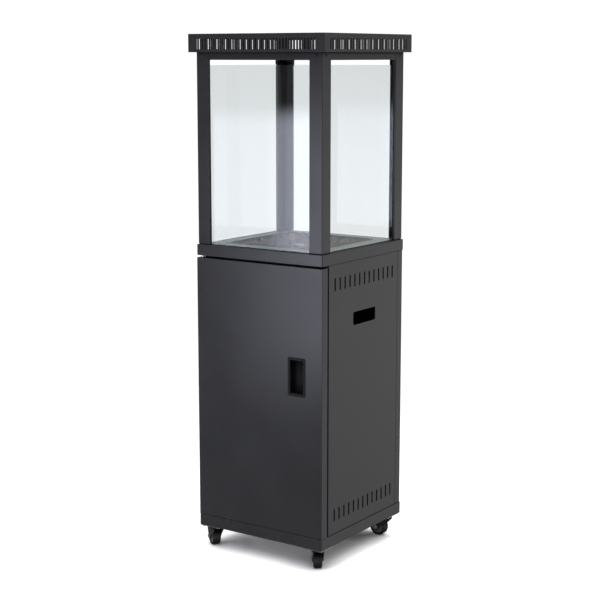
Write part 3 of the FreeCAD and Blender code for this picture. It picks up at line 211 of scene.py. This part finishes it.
# painted shade: ambient occlusion darkens the moulded colour in hollows by up to 80 per cent and makes it
# duller
painted_shade = painted_shade_share(grain, 0.04, 8, 0.9, 0.55)
left = value(grain, "SUBTRACT", 1.0, value(grain, "MULTIPLY", painted_shade, 0.8))
grain.links.new(scaled(grain, colour, left), result["Colour"])
smears = between(grain, noise(grain, where, 35.0, 3.0), 0.3, 0.7, -0.06, 0.06)
dull = value(grain, "ADD", given["Dullness"], smears)
dull = value(grain, "ADD", dull, value(grain, "MULTIPLY", painted_shade, 0.5))
grain.links.new(dull, result["Roughness"])
pits = put(grain, "TexVoronoi", {"Vector": where, "Scale": given["Coarseness"]}, feature="SMOOTH_F1")
skin = relief(grain, pits.outputs["Distance"], given["Grain"], 0.5, soft_edge)
grain.links.new(skin, result["Normal"])

black_nylon = finish("black_nylon", {"Metallic": 0.0}, grain, Plastic=(0.012, 0.012, 0.013, 1),
                     Rubbed=(0.05, 0.05, 0.052, 1), Grain=0.00008, Coarseness=1400.0, Dullness=0.42)
dress(black_nylon, "control_knob", "igniter_body")
cup_nylon = finish(
    "cup_nylon", {"Metallic": 0.0, "Specular IOR Level": 0.2}, grain, Plastic=(0.008, 0.008, 0.009, 1),
    Rubbed=(0.05, 0.05, 0.052, 1), Grain=0.00008, Coarseness=1400.0, Dullness=0.5)
dress(cup_nylon, "door_pull_cup")
ferrite = finish("bonded_ferrite", {"Metallic": 0.0}, grain, Plastic=(0.03, 0.028, 0.026, 1),
                 Rubbed=(0.09, 0.085, 0.08, 1), Grain=0.0001, Coarseness=900.0, Dullness=0.55)
dress(ferrite, "door_magnet")

plating, given, result = new_group(
    "zinc plating", {"Zinc": "Color", "Worn": "Color", "Dullness": "Float", "Streak": "Float"},
    {"Colour": "Color", "Roughness": "Float", "Normal": "Vector"})
where = put(plating, "TexCoord").outputs["Object"]
soft_edge = put(plating, "Bevel", {"Radius": 0.0004}, samples=4).outputs[0]
clouds = noise(plating, where, 90.0, 4.0, 0.6)
worn = between(plating, clouds, 0.35, 0.7, 0.0, 0.7)
plating.links.new(blend_colour(plating, worn, given["Zinc"], given["Worn"]), result["Colour"])
dull = value(plating, "ADD", given["Dullness"], between(plating, clouds, 0.3, 0.7, -0.05, 0.12))
plating.links.new(dull, result["Roughness"])
fine = value(plating, "MULTIPLY", noise(plating, where, 1800.0), 0.4)
pressed = value(plating, "ADD", noise(plating, where, 300.0, 3.0), fine)
plating.links.new(relief(plating, pressed, given["Streak"], 0.5, soft_edge), result["Normal"])
bright_zinc = finish("bright_zinc", {"Metallic": 1.0}, plating, Zinc=(0.66, 0.67, 0.69, 1),
                     Worn=(0.42, 0.42, 0.42, 1), Dullness=0.26, Streak=0.00006)
dress(bright_zinc, "door_hinges", "caster_plates", "caster_screws", "caster_axle_front_left",
      "caster_axle_front_right", "caster_axle_rear_left", "caster_axle_rear_right", "cap_brackets")

# --- Glass ---------------------------------------------------------------------------------------------
# Four panes of toughened float glass, 5 mm thick with ground edges. Seen through its faces the glass is
# nearly clear; its edges show the green of the iron in it. Light that has left another surface passes
# straight through, since so thin a pane hardly bends it.
for thin_axis, panes in ((1, ("glass_front", "glass_back")), (0, ("glass_left", "glass_right"))):
    glass = finish(f"float_glass_{'xy'[thin_axis]}",
                   {"Roughness": 0.0, "IOR": 1.5, "Transmission Weight": 1.0})
    tree = glass.node_tree
    facing = put(tree, "SeparateXYZ", {0: put(tree, "TexCoord").outputs["Normal"]}).outputs[thin_axis]
    on_face = between(tree, value(tree, "ABSOLUTE", facing), 0.4, 0.6)
    body_tint = blend_colour(tree, on_face, (0.16, 0.3, 0.26, 1), (0.937, 0.958, 0.966, 1))
    tree.links.new(body_tint, tree.nodes["Principled BSDF"].inputs["Base Color"])
    clear = put(tree, "BsdfTransparent", {"Color": (0.88, 0.9, 0.9, 1)})
    path = put(tree, "LightPath").outputs
    mirrored = value(tree, "SUBTRACT", path["Is Glossy Ray"], path["Is Transmission Ray"])
    bounced = value(tree, "MAXIMUM", path["Is Diffuse Ray"], mirrored)
    unbent = value(tree, "MAXIMUM", path["Is Shadow Ray"], bounced)
    solid = tree.nodes["Principled BSDF"].outputs[0]
    mixed = put(tree, "MixShader", {0: unbent, 1: solid, 2: clear.outputs[0]})
    tree.links.new(mixed.outputs[0], tree.nodes["Material Output"].inputs["Surface"])
    dress(glass, *panes)

# --- Screws of the posts and the back panel -------------------------------------------------------------
# Pan-head tapping screws, black zinc plated, each with a cross recess. Two hold the top of each post to
# the bracket behind it, and four go down each side of the back panel.


def surface(name, points, ends="pole", angle=40):
    """Closed shapes from grids of points. The array holds shapes, rows, columns and coordinates. Columns
    go round and meet; at the end rows the surface runs to one point, or joins its first row again."""
    shapes, rows, columns, _ = points.shape
    grid = np.arange(shapes * rows * columns).reshape(shapes, rows, columns)
    across = np.roll(grid, -1, 2)
    flat = points.reshape(-1, 3)
    if ends == "join":
        below, below_across = np.roll(grid, -1, 1), np.roll(across, -1, 1)
        quads = np.stack([grid, across, below_across, below], -1).reshape(-1, 4)
        faces = quads.tolist()
    else:
        quads = np.stack([grid[:, :-1], across[:, :-1], across[:, 1:], grid[:, 1:]], -1).reshape(-1, 4)
        first = len(flat) + np.arange(shapes)[:, None] + np.zeros(columns, int)
        last = first + shapes
        top = np.stack([first, across[:, 0], grid[:, 0]], -1).reshape(-1, 3)
        bottom = np.stack([last, grid[:, -1], across[:, -1]], -1).reshape(-1, 3)
        flat = np.concatenate([flat, points[:, 0].mean(1), points[:, -1].mean(1)])
        faces = quads.tolist() + top.tolist() + bottom.tolist()
    a, b, c = flat[quads[:, 0]], flat[quads[:, 1]], flat[quads[:, 2]]
    if np.einsum("ij,ij->i", a - flat.mean(0), np.cross(b - a, c - a)).sum() < 0:
        faces = [face[::-1] for face in faces]
    mesh = bpy.data.meshes.new(name)
    mesh.from_pydata(flat.tolist(), [], faces)
    mesh.shade_smooth()
    mesh.set_sharp_from_angle(angle=math.radians(angle))
    piece = bpy.data.objects.new(name, mesh)
    bpy.context.scene.collection.objects.link(piece)
    return piece


def screw_head(radius, height):
    """Rows from the crown to the root: the crown's height falls with the square of the distance out, less
    a cross-shaped dip in the middle; then a short upright rim and a shank of 1.5 mm."""
    turn = np.linspace(0, 2 * np.pi, 48, endpoint=False)
    out = np.concatenate([np.linspace(0.05, 1, 16), [1.0, 0.97, 0.45, 0.42]])[:, None] * radius
    crown = height * (1 - 0.45 * (np.minimum(out / radius, 1)) ** 2)
    x, y = out * np.cos(turn), out * np.sin(turn)
    bar, reach = 0.16 * radius, 0.62 * radius
    near = np.minimum(np.maximum(np.abs(x) / bar, np.abs(y) / reach),
                      np.maximum(np.abs(y) / bar, np.abs(x) / reach))
    dip = 0.55 * height * np.clip((1.25 - near) / 0.35, 0, 1)
    z = crown - dip
    z[-4:] = np.array([0.05, 0.0, 0.0, -0.0035])[:, None]
    z[-4] = height * 0.05
    return np.stack([x, y, z], -1)


post_low, post_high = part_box("post_front_right")
leg_middle = (post_low.x + post_high.x) / 2 + 0.002
screw_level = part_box("cap")[0].z - 0.0085
back_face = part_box("back_panel")[1].y
small, large = screw_head(0.0029, 0.0019), screw_head(0.0035, 0.0021)
seam_x, first_screw, screw_pitch = 0.1865, 0.09, 0.195
tray_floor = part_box("base_tray")[0].z
heads = []
for x_side in (-1, 1):
    for y_side in (-1, 1):
        for along, turns in (("y", 0.5), ("x", 1.1)):
            c, s = math.cos(turns + x_side), math.sin(turns + y_side)
            c, s = c / math.hypot(c, s), s / math.hypot(c, s)
            u, v = small[..., 0] * c - small[..., 1] * s, small[..., 0] * s + small[..., 1] * c
            w = small[..., 2]
            x, y = x_side * leg_middle + u, y_side * (post_high.x + w)
            if along == "x":
                x, y = x_side * (post_high.x + w), y_side * leg_middle + u
            heads.append(np.stack([x, y, screw_level + v], -1))
for x_side in (-1, 1):
    for step in range(4):
        place = np.array([x_side * seam_x, back_face, tray_floor + first_screw + screw_pitch * step])
        heads.append(np.stack([large[..., 0], large[..., 2], large[..., 1]], -1) + place)
frame_screws = surface("cross_head_screws", np.array(heads), angle=35)
black_zinc = finish("black_zinc", {"Metallic": 1.0}, plating, Zinc=(0.1, 0.1, 0.105, 1),
                    Worn=(0.2, 0.2, 0.2, 1), Dullness=0.36, Streak=0.00004)
frame_screws.data.materials.append(black_zinc)
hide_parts("frame_screws")
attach(frame_screws, "cabinet")

# --- Burner: cover, pan, ring, grate and pilot -----------------------------------------------------------
# The cover is cold-rolled stainless sheet with its rolling lines left on. The pan is steel under
# heat-proof black enamel. The ring, the grate and the pilot's hood are stainless, coloured by the flame.
rolled, given, result = new_group(
    "rolled steel", {"Steel": "Color", "Tarnish": "Color", "Lines": "Vector", "Depth": "Float",
                     "Dullness": "Float", "Heat": "Float"},
    {"Colour": "Color", "Roughness": "Float", "Normal": "Vector"})
where = put(rolled, "TexCoord").outputs["Object"]
soft_edge = put(rolled, "Bevel", {"Radius": 0.0004}, samples=4).outputs[0]
drawn = put(rolled, "VectorMath", {0: where, 1: given["Lines"]}, operation="MULTIPLY").outputs[0]
lines = noise(rolled, drawn, 1.0, 4.0, 0.6)
stains = noise(rolled, where, 14.0, 5.0, 0.6)
flat = put(rolled, "VectorMath", {0: where, 1: (1, 1, 0)}, operation="MULTIPLY").outputs[0]
out = put(rolled, "VectorMath", {0: flat}, operation="LENGTH").outputs["Value"]
out = value(rolled, "ADD", out, between(rolled, stains, 0.3, 0.7, -0.02, 0.02))
bands = put(rolled, "ValToRGB", {"Fac": between(rolled, out, 0.03, 0.17)})
ramp = bands.color_ramp
ramp.elements[0].color, ramp.elements[1].color = (0.16, 0.12, 0.1, 1), (1, 1, 1, 1)
for position, tint in ((0.3, (0.3, 0.22, 0.2, 1)), (0.5, (0.32, 0.34, 0.46, 1)), (0.66, (0.62, 0.46, 0.3, 1)),
                       (0.8, (0.92, 0.84, 0.66, 1))):
    ramp.elements.new(position).color = tint
tinted = put(rolled, "Mix", {0: given["Heat"], 6: given["Steel"], 7: bands.outputs[0]}, data_type="RGBA",
             blend_type="MULTIPLY").outputs[2]
tarnish = value(rolled, "MULTIPLY", between(rolled, stains, 0.45, 0.75), 0.5)
streak = between(rolled, lines, 0.3, 0.7, 0.85, 1.12)
tinted = blend_colour(rolled, tarnish, tinted, given["Tarnish"])
rolled.links.new(scaled(rolled, tinted, streak), result["Colour"])
dull = value(rolled, "ADD", given["Dullness"], between(rolled, lines, 0.3, 0.7, -0.06, 0.08))
dull = value(rolled, "ADD", dull, value(rolled, "MULTIPLY", tarnish, 0.25))
rolled.links.new(dull, result["Roughness"])
rolled.links.new(relief(rolled, lines, given["Depth"], 0.5, soft_edge), result["Normal"])

cover_steel = finish(
    "cover_steel", {"Metallic": 1.0}, rolled, Steel=(0.56, 0.59, 0.585, 1), Tarnish=(0.38, 0.39, 0.375, 1),
    Lines=(60.0, 1500.0, 60.0), Depth=0.00002, Dullness=0.36, Heat=0.1)
dress(cover_steel, "burner_cover")
flame_steel = finish(
    "flame_steel", {"Metallic": 1.0}, rolled, Steel=(0.5, 0.49, 0.47, 1), Tarnish=(0.16, 0.12, 0.1, 1),
    Lines=(900.0, 60.0, 200.0), Depth=0.00003, Dullness=0.34, Heat=0.85)
dress(flame_steel, "burner_ring", "rock_grate")
hood_steel = finish(
    "hood_steel", {"Metallic": 1.0}, rolled, Steel=(0.78, 0.78, 0.77, 1), Tarnish=(0.5, 0.45, 0.4, 1),
    Lines=(80.0, 80.0, 1200.0), Depth=0.00002, Dullness=0.42, Heat=0.12)
dress(hood_steel, "pilot_hood")
pan_enamel = finish(
    "pan_enamel", {"Metallic": 0.0}, coat, Powder=(0.016, 0.015, 0.015, 1),
    Thin_powder=(0.06, 0.05, 0.045, 1), Dust=(0.13, 0.1, 0.085, 1), Peel=0.00008, Dullness=0.42, Dusting=0.7)
dress(pan_enamel, "burner_pan")

# --- Lava stones ---------------------------------------------------------------------------------------
# Crushed lava, 25 to 35 mm across: full of gas holes, with flat broken faces, rust red to grey brown.
# A close layer lies on the grate and smaller stones fill the hollows between them.
chance = np.random.default_rng(7)
grate_low, grate_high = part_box("rock_grate")
hood_low, hood_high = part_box("pilot_hood")


def stones(middles, sizes, rows=20, columns=30):
    """Balls cut by random planes: along each direction the surface lies where the first plane is met, at
    the plane's distance over the cosine between them; waves of shrinking length then roughen it."""
    count = len(middles)
    tip, round_ = np.linspace(0.06, np.pi - 0.06, rows), np.linspace(0, 2 * np.pi, columns, endpoint=False)
    tip, round_ = tip[:, None], round_[None, :]
    way = np.stack([np.sin(tip) * np.cos(round_), np.sin(tip) * np.sin(round_), np.cos(tip) + 0 * round_], -1)
    planes = chance.normal(size=(count, 16, 3))
    planes /= np.linalg.norm(planes, axis=-1, keepdims=True)
    far = chance.uniform(0.62, 1.0, (count, 16))
    cosine = np.einsum("rcx,spx->srcp", way, planes)
    reach = np.where(cosine > 0.2, far[:, None, None, :] / np.maximum(cosine, 0.2), 9.0)
    out = np.minimum(-np.log(np.exp(-9 * np.minimum(reach, 3)).sum(-1)) / 9, 1.05)
    for waves, height in ((5.0, 0.05), (11.0, 0.03), (21.0, 0.018)):
        turn = chance.normal(size=(count, 6, 3)) * waves
        phase = chance.uniform(0, 2 * np.pi, (count, 6))
        swell = np.sin(np.einsum("rcx,skx->srck", way, turn) + phase[:, None, None, :])
        out = out + height * swell.mean(-1) * 2 - height * 0.6 * np.abs(swell).max(-1)
    points = way[None] * out[..., None] * sizes[:, None, None, :]
    spin = np.linalg.qr(chance.normal(size=(count, 3, 3)))[0]
    level = np.einsum("srcx,sxy->srcy", points, spin)
    lowest = level[..., 2].min((1, 2))
    level[..., 2] -= lowest[:, None, None]
    return level + middles[:, None, None, :]


step, side = 0.0335, 7
column, row = np.meshgrid(np.arange(side) - (side - 1) / 2, np.arange(side) - (side - 1) / 2)
under = np.stack([column.ravel() * step, row.ravel() * step, np.full(side * side, grate_high.z)], -1)
under[:, :2] += chance.uniform(-0.003, 0.003, (side * side, 2))
sizes = chance.uniform(0.0135, 0.0175, (side * side, 3)) * [1, 1, 0.78]
column, row = np.meshgrid(np.arange(side - 1) - (side - 2) / 2, np.arange(side - 1) - (side - 2) / 2)
hollows, rise = (side - 1) ** 2, 0.0105
over = np.stack([column.ravel() * step, row.ravel() * step, np.full(hollows, grate_high.z + rise)], -1)
over[:, :2] += chance.uniform(-0.005, 0.005, (hollows, 2))
over_sizes = chance.uniform(0.008, 0.0115, (hollows, 3)) * [1, 1, 0.75]
chosen = chance.random(hollows) < 0.62
middles, sizes = np.concatenate([under, over[chosen]]), np.concatenate([sizes, over_sizes[chosen]])
hood_low, hood_high = np.array(hood_low)[:2], np.array(hood_high)[:2]
stone_reach = 0.017
off_hood = np.abs(middles[:, :2] - (hood_low + hood_high) / 2) - (hood_high - hood_low) / 2
clear = np.any(off_hood > stone_reach, axis=1)
lava = surface("lava_stones", stones(middles[clear], sizes[clear]), angle=70)
lava_material = bpy.data.materials.new("crushed_lava")
lava_material.use_nodes = True
tree = lava_material.node_tree
skin = tree.nodes["Principled BSDF"]
where = put(tree, "TexCoord").outputs["Object"]
holes, pinholes = [put(tree, "TexVoronoi", {"Vector": where, "Scale": scale}).outputs["Distance"]
                   for scale in (420.0, 1300.0)]
sunk = between(tree, holes, 0.18, 0.5)
fine = between(tree, pinholes, 0.15, 0.5)
kind = noise(tree, where, 28.0, 2.0)
red = blend_colour(tree, between(tree, kind, 0.48, 0.66), (0.07, 0.066, 0.064, 1), (0.22, 0.12, 0.085, 1))
ash = between(tree, noise(tree, where, 75.0, 5.0, 0.65), 0.45, 0.75)
ashy = blend_colour(tree, ash, red, (0.26, 0.22, 0.2, 1))
dark = blend_colour(tree, value(tree, "MULTIPLY", sunk, fine), (0.018, 0.012, 0.01, 1), ashy)
tree.links.new(dark, skin.inputs["Base Color"])
skin.inputs["Roughness"].default_value = 0.93
height = value(tree, "ADD", sunk, value(tree, "MULTIPLY", fine, 0.35))
height = value(tree, "ADD", height, noise(tree, where, 700.0, 4.0, 0.7))
tree.links.new(put(tree, "Bump", {"Height": height, "Distance": 0.0009, "Strength": 0.9}).outputs[0],
               skin.inputs["Normal"])
lava.data.materials.append(lava_material)
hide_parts("lava_rocks")
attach(lava, "cabinet")

# --- Electrode and thermocouple ------------------------------------------------------------------------
# The electrode is glazed porcelain with a steel tip above and a silicone lead below; the thermocouple is
# a steel probe with a thin copper tube. Each is one piece, so its finish changes with height.


def bands_by_height(name, levels, shader):
    """A material whose colour and metal change at heights: each level is a height, a colour and a share
    of metal that hold from there up."""
    material = finish(name, shader)
    tree = material.node_tree
    height = put(tree, "SeparateXYZ", {0: put(tree, "TexCoord").outputs["Object"]}).outputs[2]
    stain = noise(tree, put(tree, "TexCoord").outputs["Object"], 220.0, 4.0)
    height = value(tree, "ADD", height, between(tree, stain, 0.3, 0.7, -0.0002, 0.0002))
    colour, metal = levels[0][1], levels[0][2]
    for low, shade, share in levels[1:]:
        above = value(tree, "GREATER_THAN", height, low)
        colour = blend_colour(tree, above, colour, shade)
        metal = value(tree, "ADD", value(tree, "MULTIPLY", above, share),
                      value(tree, "MULTIPLY", value(tree, "SUBTRACT", 1.0, above), metal))
    worn = scaled(tree, colour, between(tree, stain, 0.3, 0.7, 0.8, 1.1))
    principled = tree.nodes["Principled BSDF"]
    tree.links.new(worn, principled.inputs["Base Color"])
    tree.links.new(metal, principled.inputs["Metallic"])
    tree.links.new(between(tree, stain, 0.3, 0.7, 0.25, 0.42), principled.inputs["Roughness"])
    return material


foot, tip, probe = grate_high.z - 0.02, grate_high.z + 0.014, grate_high.z - 0.014
silicone, porcelain, steel_tip = (0.16, 0.03, 0.025, 1), (0.8, 0.78, 0.72, 1), (0.4, 0.36, 0.33, 1)
copper_tube, probe_steel = (0.62, 0.32, 0.2, 1), (0.5, 0.44, 0.38, 1)
electrode_levels = [(0, silicone, 0.0), (foot, porcelain, 0.0), (tip, steel_tip, 1.0)]
dress(bands_by_height("electrode_finish", electrode_levels, {}), "spark_electrode")
probe_levels = [(0, copper_tube, 1.0), (probe, probe_steel, 1.0)]
dress(bands_by_height("thermocouple_finish", probe_levels, {}), "thermocouple")

# --- Controls behind the door --------------------------------------------------------------------------
# A cast aluminium tap, a brass spindle, injector and hose tail, and a bent copper pipe. The knob is fluted
# nylon with a white filling in its pointer groove; a printed wedge on the plate shows low to high.
cast = finish("cast_aluminium", {"Metallic": 1.0}, plating, Zinc=(0.6, 0.6, 0.59, 1),
              Worn=(0.4, 0.4, 0.39, 1), Dullness=0.42, Streak=0.00025)
dress(cast, "gas_valve")
brass = finish("turned_brass", {"Metallic": 1.0}, plating, Zinc=(0.72, 0.52, 0.24, 1),
               Worn=(0.42, 0.28, 0.13, 1), Dullness=0.28, Streak=0.00003)
dress(brass, "valve_spindle", "gas_injector", "hose_tail")
copper = finish("bent_copper", {"Metallic": 1.0}, plating, Zinc=(0.75, 0.4, 0.26, 1),
                Worn=(0.4, 0.2, 0.13, 1), Dullness=0.3, Streak=0.00003)
dress(copper, "gas_pipe")
signal_red = finish("signal_red_cap", {"Metallic": 0.0}, grain, Plastic=(0.35, 0.02, 0.015, 1),
                    Rubbed=(0.5, 0.12, 0.1, 1), Grain=0.00004, Coarseness=1800.0, Dullness=0.35)
dress(signal_red, "igniter_button")
switch_grey = finish("switch_grey", {"Metallic": 0.0}, grain, Plastic=(0.12, 0.12, 0.125, 1),
                     Rubbed=(0.2, 0.2, 0.2, 1), Grain=0.00006, Coarseness=1200.0, Dullness=0.45)
dress(switch_grey, "tilt_switch")

knob_low, knob_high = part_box("control_knob")
knob_x, knob_z = (knob_low.x + knob_high.x) / 2, (knob_low.z + knob_high.z) / 2
turn = np.linspace(0, 2 * np.pi, 24, endpoint=False)
half_width, half_length, groove_up, skin = 0.0011, 0.0042, 0.0085, 0.00002
pointer = np.stack([half_width * np.cos(turn), half_length * np.sin(turn)], -1)
rows = []
for push, grow in ((0.0, 1.0), (-0.00035, 1.0), (-0.0005, 0.8)):
    face = np.full(24, knob_low.y + push + skin)
    up = groove_up + grow * pointer[:, 1]
    rows.append(np.stack([knob_x + grow * pointer[:, 0], face, knob_z + up], -1))
knob_pointer = surface("knob_pointer", np.array([rows]), angle=50)
white_paint = finish("white_filling", {"Metallic": 0.0}, grain, Plastic=(0.75, 0.75, 0.73, 1),
                     Rubbed=(0.6, 0.6, 0.58, 1), Grain=0.00002, Coarseness=1500.0, Dullness=0.5)
knob_pointer.data.materials.append(white_paint)
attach(knob_pointer, "knob")

sweep = np.linspace(0.0, 1.0, 40)
angle = math.radians(-60) - sweep * math.radians(240)
plate_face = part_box("control_plate")[0].y
middle, width = 0.0265, 0.0004 + 0.0022 * sweep
ring = []
for offset, depth in ((-1, 0.0), (-1, 0.0003), (1, 0.0003), (1, 0.0)):
    radius = middle + offset * width
    face = np.full(40, plate_face - depth + skin)
    ring.append(np.stack([knob_x - radius * np.sin(angle), face, knob_z - radius * np.cos(angle)], -1))
gas_wedge = surface("gas_wedge", np.array([np.array(ring).transpose(1, 0, 2)]), angle=30)
gas_wedge.data.materials.append(white_paint)
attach(gas_wedge, "cabinet")

# --- Casters ---------------------------------------------------------------------------------------------
# Bought 50 mm casters: pressed forks sprayed black, a dull rubber tread moulded round a pale nylon wheel,
# and a ball race between fork and plate under a pressed zinc ring. The rear ones have steel brake pedals.
corners = ("front_left", "front_right", "rear_left", "rear_right")
fork_black = finish(
    "fork_black", {"Metallic": 0.0}, coat, Powder=(0.014, 0.014, 0.015, 1),
    Thin_powder=(0.07, 0.07, 0.072, 1), Dust=(0.16, 0.15, 0.14, 1), Peel=0.00005, Dullness=0.34, Dusting=0.3)
tread_rubber = finish("tread_rubber", {"Metallic": 0.0}, grain, Plastic=(0.018, 0.018, 0.018, 1),
                      Rubbed=(0.07, 0.068, 0.065, 1), Grain=0.00012, Coarseness=1100.0, Dullness=0.72)
wheel_nylon = finish("wheel_nylon", {"Metallic": 0.0}, grain, Plastic=(0.42, 0.41, 0.38, 1),
                     Rubbed=(0.55, 0.54, 0.5, 1), Grain=0.00004, Coarseness=900.0, Dullness=0.4)
for corner in corners:
    dress(fork_black, f"caster_fork_{corner}")
    dress(tread_rubber, f"caster_tyre_{corner}")
    dress(wheel_nylon, f"caster_hub_{corner}")
dress(fork_black, "brake_pedal_rear_left", "brake_pedal_rear_right")
joints = {joint["name"]: joint for joint in frame["joints"]}
around = np.linspace(0, 2 * np.pi, 64, endpoint=False)
race_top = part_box("caster_plates")[1].z - 0.0005
# a rolled ring, out and down: a round bead outside, sloping in to a thin neck under the plate
profile = np.array([(0.0150, -0.0021), (0.0212, -0.0024), (0.0222, -0.0030), (0.0228, -0.0040),
                    (0.0226, -0.0052), (0.0220, -0.0058), (0.0216, -0.0054), (0.0219, -0.0042),
                    (0.0208, -0.0028), (0.0150, -0.0025)])
out, down = profile[:, :1], profile[:, 1:]
for corner in corners:
    centre_x, centre_y, _ = joints[f"swivel_{corner}"]["pos_m"]
    grid = np.stack([centre_x + out * np.cos(around), centre_y + out * np.sin(around),
                     race_top + down + 0 * around], -1)
    race = surface(f"ball_race_ring_{corner}", grid[None], ends="join", angle=50)
    race.data.materials.append(bright_zinc)
    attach(race, "cabinet")

# --- Floor, light and camera ---------------------------------------------------------------------------
# A pale floor that fades into a white surround and glows a little; ambient occlusion cuts the glow under
# the base, which paints the contact shadow there. A broad soft light stands at the front right, one hangs
# above, a weak one is at the left, and a low panel in front shows as a pale sheen on the door and the front
# pane. The camera is a little above the deck.
turn, out = np.linspace(0, 2 * np.pi, 96, endpoint=False), np.linspace(0.02, 4.0, 24)[:, None]
disc = np.stack([out * np.cos(turn), out * np.sin(turn), 0 * out * turn], -1)
thickness = 0.01
thick = np.concatenate([disc, disc[::-1] - [0, 0, thickness]])
floor = surface("floor", thick[None], angle=30)
paper = bpy.data.materials.new("pale_floor")
paper.use_nodes = True
tree = paper.node_tree
skin = tree.nodes["Principled BSDF"]
skin.inputs["Roughness"].default_value = 0.8
skin.inputs["Emission Strength"].default_value = 0.45
where = put(tree, "TexCoord").outputs["Object"]
tone = between(tree, noise(tree, where, 3.0, 3.0), 0.3, 0.7, 0.9, 0.93)
tree.links.new(scaled(tree, (1, 1, 1), tone), skin.inputs["Base Color"])
# painted shadow: the floor's glow is cut where ambient occlusion finds the base above it, which draws the
# contact shadow
glow_outside_painted_shadow = value(tree, "SUBTRACT", 1.0, painted_shade_share(tree, 0.1, 16, 0.65, 0.4))
tree.links.new(scaled(tree, (1, 1, 1), glow_outside_painted_shadow), skin.inputs["Emission Color"])
away = put(tree, "VectorMath", {0: where}, operation="LENGTH").outputs["Value"]
clear_share = put(tree, "MapRange", {"Value": away, "From Min": 0.7, "From Max": 2.4},
                  interpolation_type="SMOOTHSTEP")
veil = put(tree, "BsdfTransparent")
fade = put(tree, "MixShader", {0: clear_share.outputs[0], 1: skin.outputs[0], 2: veil.outputs[0]})
tree.links.new(fade.outputs[0], tree.nodes["Material Output"].inputs["Surface"])
floor.data.materials.append(paper)
floor.visible_glossy = False

world = bpy.data.worlds.new("white_surround")
bpy.context.scene.world = world
world.use_nodes = True
tree = world.node_tree
way = put(tree, "TexCoord").outputs["Generated"]
sides = put(tree, "SeparateXYZ", {0: way}).outputs
across = put(tree, "VectorMath", {0: way, 1: (0.6, 0.8, 0.0)}, operation="DOT_PRODUCT").outputs["Value"]
behind = between(tree, across, -0.25, 0.7)
fading = between(tree, sides[2], -0.1, -0.34, 1.0, 0.33)
sweep = value(tree, "MULTIPLY", between(tree, sides[2], 0.01, -0.07), fading)
lit = value(tree, "ADD", 0.03, value(tree, "MULTIPLY", sweep, 0.81))
studio = value(tree, "ADD", 0.13, value(tree, "MULTIPLY", behind, lit))
studio = value(tree, "ADD", studio, between(tree, sides[2], 0.2, 0.9, 0.0, 0.5))
path = put(tree, "LightPath").outputs
bounced = value(tree, "ADD", path["Glossy Depth"], path["Diffuse Depth"])
through = value(tree, "MULTIPLY", path["Is Transmission Ray"], value(tree, "LESS_THAN", bounced, 0.5))
through_panes = between(tree, sides[2], -0.015, -0.05, 0.925, 0.935)
backdrop = value(tree, "MULTIPLY", through, through_panes)
backdrop = value(tree, "ADD", backdrop, value(tree, "MULTIPLY", path["Is Camera Ray"], 1.05))
seen = value(tree, "MAXIMUM", path["Is Camera Ray"], through)
bounce_light = value(tree, "MULTIPLY", value(tree, "SUBTRACT", 1.0, seen), studio)
strength = value(tree, "ADD", backdrop, bounce_light)
tree.links.new(strength, tree.nodes["Background"].inputs["Strength"])
tree.nodes["Background"].inputs["Color"].default_value = (1, 1, 1, 1)

# name, place, aim, size, power, colour, the share of each side that fades, and whether it is mirrored
white, cool = (1.0, 1.0, 1.0), (0.92, 0.95, 1.12)
lamps = (
    ("key_softbox", (2.2, -2.0, 3.0), (0, 0, 0.9), (2.2, 2.2), 90.0, white, (0.05, 0.05), False),
    ("left_softbox", (-3.0, 0.8, 1.6), (0, 0, 0.8), (1.6, 1.6), 16.0, white, (0.05, 0.05), True),
    ("front_panel", (-0.37, -1.15, 0.72), (-0.37, 0, 0.72), (0.62, 0.92), 6.0, cool, (0.18, 0.06), True),
    ("top_softbox", (0.0, 0.6, 3.6), (0, 0, 0.5), (2.6, 2.6), 75.0, white, (0.05, 0.05), True))
for name, place, aim, size, power, colour, soft, mirrored in lamps:
    light = bpy.data.lights.new(name, "AREA")
    light.shape, light.energy, light.color = "RECTANGLE", power, colour
    light.size, light.size_y = size
    light.use_nodes = True
    tree = light.node_tree
    corner = put(tree, "SeparateXYZ", {0: put(tree, "NewGeometry").outputs["Parametric"]}).outputs
    off_middle = [value(tree, "ABSOLUTE", value(tree, "SUBTRACT", corner[axis], 0.5)) for axis in (0, 1)]
    edges = [between(tree, off_middle[axis], 0.5, 0.5 - soft[axis]) for axis in (0, 1)]
    tree.links.new(value(tree, "MULTIPLY", *edges), tree.nodes["Emission"].inputs["Strength"])
    lamp = bpy.data.objects.new(name, light)
    bpy.context.scene.collection.objects.link(lamp)
    lamp.visible_camera = False
    lamp.visible_glossy = mirrored
    lamp.location = place
    down = Vector(aim) - Vector(place)
    lamp.rotation_euler = down.to_track_quat("-Z", "Y").to_euler()

camera = bpy.data.cameras.new("camera")
camera.lens, camera.sensor_width = 86.08, 36.0
viewer = bpy.data.objects.new("camera", camera)
bpy.context.scene.collection.objects.link(viewer)
viewer.location = (2.16403, -3.16642, 1.33445)
viewer.rotation_euler = (math.radians(90 - 9.6818), 0, math.radians(34.4075))
bpy.context.scene.camera = viewer
bpy.context.scene.view_settings.view_transform = "Standard"
